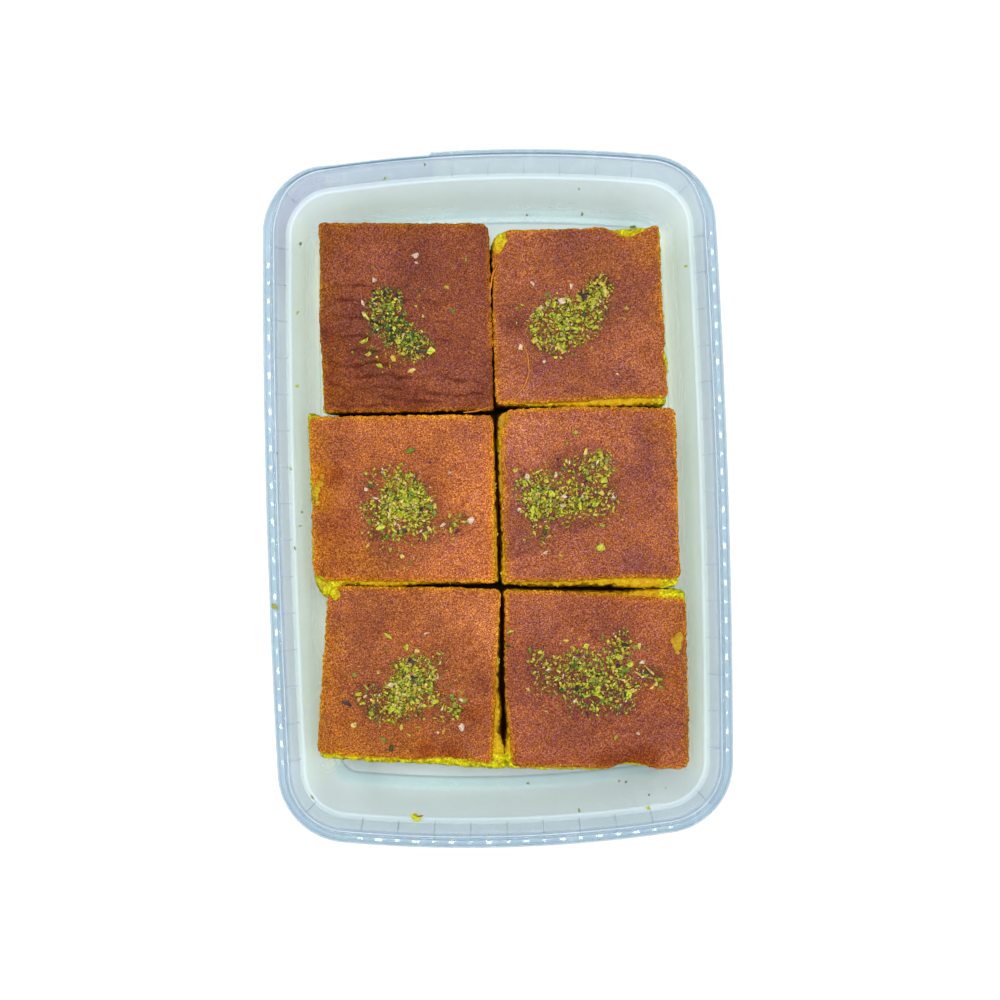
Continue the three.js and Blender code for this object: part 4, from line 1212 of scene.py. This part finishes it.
def scatter(name, places, shapes, material, seed):
    """One mesh of many chips. Each place is x, y, z, three sizes, turn and shade."""
    draw = np.random.default_rng(seed)
    points = []
    faces = []
    shades = []
    levels = []
    total = 0
    for x, y, z, long, wide, high, turn, shade in places:
        spots, triangles = shapes[draw.integers(len(shapes))]
        tip = 0.8
        if long != wide:
            tip = 0.25
            spots = spots / np.ptp(spots, axis=0)
        spin = np.array(Matrix.Rotation(turn, 3, "Z"))
        lying = (spots * (long, wide, high)) @ tipped(draw, tip).T @ spin.T
        points.append(lying + (x, y, z))
        levels.append((lying[:, 2] - lying[:, 2].min()) / np.ptp(lying[:, 2]))
        faces.append(triangles + total)
        shades.append(np.full(len(spots), shade))
        total += len(spots)
    fields = {"shade": np.concatenate(shades), "level": np.concatenate(levels)}
    return make_object(name, np.concatenate(points), faces, [material], fields, flat=True)


class Pile:
    """How high the chips lie so far over a cake, on a grid of small cells."""

    CELL = 0.4

    def __init__(self, cake):
        self.low = np.array(cake["crust"]).min(axis=0) - 2
        span = np.array(cake["crust"]).max(axis=0) + 2 - self.low
        self.heights = np.zeros(np.ceil(span / self.CELL).astype(int))

    def drop(self, x, y, size):
        """The height at which a chip of this size comes to rest at a place, which it then raises."""
        column, row = ((np.array([x, y]) - self.low) / self.CELL).astype(int)
        reach = max(1, round(0.3 * size / self.CELL))
        patch = self.heights[column - reach:column + reach + 1, row - reach:row + reach + 1]
        height = 0.7 * patch.mean()
        np.maximum(patch, height + 0.42 * size, out=patch)
        return height + 0.12 * size


def heap_spot(draw, heap, spread, power):
    """A random place in a heap. Its middle gets more the higher the power."""
    x, y, long, wide, degrees, _number = heap
    angle = draw.uniform(0, math.tau)
    far = spread * draw.uniform(0, 1) ** power
    across, along = turned(long * far * math.cos(angle), wide * far * math.sin(angle), degrees)
    return x + across, y + along


def nut_places(cake):
    """Where a cake's chips lie, each as x, y, z, its three sizes, turn and shade."""
    draw = np.random.default_rng(cake["seed"] + 100)
    pile = Pile(cake)
    places = []
    for heap in cake["heaps"]:
        number = int(heap[-1])
        for _ in range(number):
            x, y = heap_spot(draw, heap, 1.15, 0.7)
            size = min(0.6 + draw.gamma(2.0, 0.26), 2.4)
            shade = draw.uniform(0, 1)
            if draw.uniform(0, 1) < cake.get("dark_chips", DARK_CHIPS):
                shade = draw.choice(DARK_SHADES)
            places.append([x, y, pile.drop(x, y, size), size, size, size, draw.uniform(0, math.tau), shade])
        # Dust between the chips
        for _ in range(number):
            x, y = heap_spot(draw, heap, 1.25, 0.5)
            size = draw.uniform(0.28, 0.6)
            places.append([x, y, 0.1, size, size, size, draw.uniform(0, math.tau), draw.uniform(0, 1)])
    for x, y, long, wide, degrees, shade in cake["flecks"]:
        height = pile.drop(x, y, wide)
        places.append([x, y, height, long, wide, min(wide, 1.2), math.radians(degrees), FLECK_SHADES[shade]])
    places = np.array(places)
    places[:, 2] += cake["top"] + crust_relief(cake, places)
    return places


def make_threads(shader):
    """Thin round threads along smooth paths, as one mesh."""
    points = []
    faces = []
    total = 0
    angle = math.tau * np.arange(THREAD_SIDES)[:, None] / THREAD_SIDES
    for path in THREADS:
        path = np.reshape(path, (-1, 3))
        steps = max(8, int(way_along(path)[-1] / THREAD_STEP))
        line = spaced(path, steps)
        for _ in range(3):
            line[1:-1] = (line[:-2] + 2 * line[1:-1] + line[2:]) / 4
        along = np.gradient(line, axis=0)
        along /= np.linalg.norm(along, axis=1)[:, None]
        across = np.cross(along, (0, 0, 1))
        across /= np.linalg.norm(across, axis=1)[:, None]
        up = np.cross(across, along)
        taper = THREAD_RADIUS * (0.35 + 0.65 * np.sin(np.pi * np.linspace(0.06, 0.94, steps)) ** 0.5)
        for middle, radius, right, rise in zip(line, taper, across, up):
            points.append(middle + radius * (np.cos(angle) * right + np.sin(angle) * rise))
        faces.append(ring_faces(steps, THREAD_SIDES, total)[:, ::-1])
        cap = total + np.arange(THREAD_SIDES)[None, :]
        faces += [cap, (cap + (steps - 1) * THREAD_SIDES)[:, ::-1]]
        total += steps * THREAD_SIDES
    return make_object("saffron_threads", np.concatenate(points), faces, [shader.material])


def make_syrup_with_painted_shade(shader):
    """A thin pool of dark syrup on the tub's floor, under the cakes and in the gaps between them, whose
    darkness is painted shade in the gaps.
    """
    turn = np.linspace(0, math.tau, SYRUP_POINTS, endpoint=False)
    square = np.maximum(np.abs(np.cos(turn)), np.abs(np.sin(turn)))
    edge = np.column_stack([np.cos(turn), np.sin(turn)]) / square[:, None]
    edge *= (SYRUP_HALF_WIDTH, SYRUP_HALF_LENGTH)
    edge *= (1 - 0.02 * (1 + noise(at_height(edge), 14, 71)))[:, None]
    levels = [(1.0, FLOOR_TOP + 0.02), (1.0, FLOOR_TOP + 0.12), (0.992, FLOOR_TOP + 0.2)]
    rings = [at_height(edge * share, height) for share, height in levels]
    points = np.concatenate([*rings, [[0, 0, levels[0][1]], [0, 0, levels[-1][1]]]])
    last = len(points) - 1
    faces = [ring_faces(len(levels), len(edge)), fan_faces(0, len(edge), last - 1, False),
             fan_faces((len(levels) - 1) * len(edge), len(edge), last, True)]
    return make_object("syrup_with_painted_shade", points, faces, [shader.material])


def make_food():
    shapes = chip_shapes(CHIP_SHAPES, 5)
    chips = []
    bits = [(x, y, z, size, size, size, 0, shade) for x, y, z, size, shade in LEDGE_CRUMBS]
    for cake in CAKES:
        sponge, clinging = make_cake(cake, cake_material(cake))
        bits.extend(clinging)
        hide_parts(cake["name"])
        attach(sponge, "root")
        chips.extend(nut_places(cake))
    chips += [(x, y, z, size, size, size, x, FLECK_SHADES[shade]) for x, y, z, size, shade in TUB_SPECKS]
    saffron = two_tone_material("saffron_thread", 2.5, (150, 80, 0), (204, 126, 4), 0.4)
    saffron.set(Specular_IOR_Level=0.3)
    # The syrup's near-black colour is painted shade in the gaps between the cakes
    syrup_with_shade = two_tone_material("syrup_with_painted_shade", 6, (30, 14, 2), (70, 38, 6), 0.6)
    syrup_with_shade.set(Specular_IOR_Level=0.1)
    crumb = two_tone_material("loose_crumb", "shade", (116, 84, 10), (196, 200, 14), 0.7)
    crumb.set(Normal=crumb.bump(crumb.noise(0.4), 0.5, 0.1))
    pieces = [
        (scatter("pistachio_chips", chips, shapes, nut_material(), 17), "pistachio"),
        (make_threads(saffron), "saffron"),
        (scatter("loose_crumbs", bits, shapes, crumb.material, 19), "cake_crumb"),
        (make_syrup_with_painted_shade(syrup_with_shade), "cake_crumb"),
    ]
    for piece, slot in pieces:
        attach(piece, "root")


def make_container():
    body = plastic_material("clear_plastic", 0.32)
    shell = make_tub(body, plastic_material("clear_plastic_rim", 0.55, gloss=0.8))
    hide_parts("tub")
    # The ribs get painted shade at the front
    for piece in (shell, make_gussets(plastic_material("clear_plastic_rib", 0.22, dark=(0.0, 0.6)))):
        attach(piece, "root")


# Floor, lights and camera


def make_floor():
    line = np.linspace(-FLOOR_SIDE, FLOOR_SIDE, FLOOR_STEPS + 1)
    x, y = np.meshgrid(line, line)
    points = at_height(np.column_stack([x.ravel(), y.ravel()]), FLOOR_HEIGHT)
    pale = two_tone_material("pale_floor", 30, (247, 247, 247), (249.3, 249.3, 249.3), 0.8)
    make_object("floor", points, [grid_faces(FLOOR_STEPS + 1)], [pale.material])


def make_lights():
    world = bpy.data.worlds.new("soft_room")
    world.use_nodes = True
    background = world.node_tree.nodes["Background"]
    background.inputs["Color"].default_value = (*ROOM_COLOUR, 1)
    background.inputs["Strength"].default_value = ROOM_STRENGTH
    bpy.context.scene.world = world
    for name, place_mm, size_mm, watts in LAMPS:
        light = bpy.data.lights.new(name, "AREA")
        light.shape = "RECTANGLE"
        light.size, light.size_y = (size * MM for size in size_mm)
        light.energy = watts
        lamp = place_object(name, light)
        lamp.location = [c * MM for c in place_mm]
        lamp.rotation_euler = (-lamp.location).to_track_quat("-Z", "Y").to_euler()
    bpy.context.scene.view_settings.view_transform = "Standard"


def make_camera():
    data = bpy.data.cameras.new("camera")
    data.sensor_width = SENSOR_MM
    data.lens = SENSOR_MM * FOCAL_PX / IMAGE
    data.clip_start = 0.01
    camera = place_object("camera", data)
    turn = (Matrix.Rotation(math.radians(CAMERA_YAW), 4, "Y")
            @ Matrix.Rotation(math.radians(CAMERA_PITCH), 4, "X")
            @ Matrix.Rotation(math.radians(CAMERA_ROLL), 4, "Z"))
    camera.matrix_world = Matrix.Translation([c * MM for c in CAMERA_MM]) @ turn
    bpy.context.scene.camera = camera


make_camera()
make_floor()
make_lights()
make_container()
make_food()
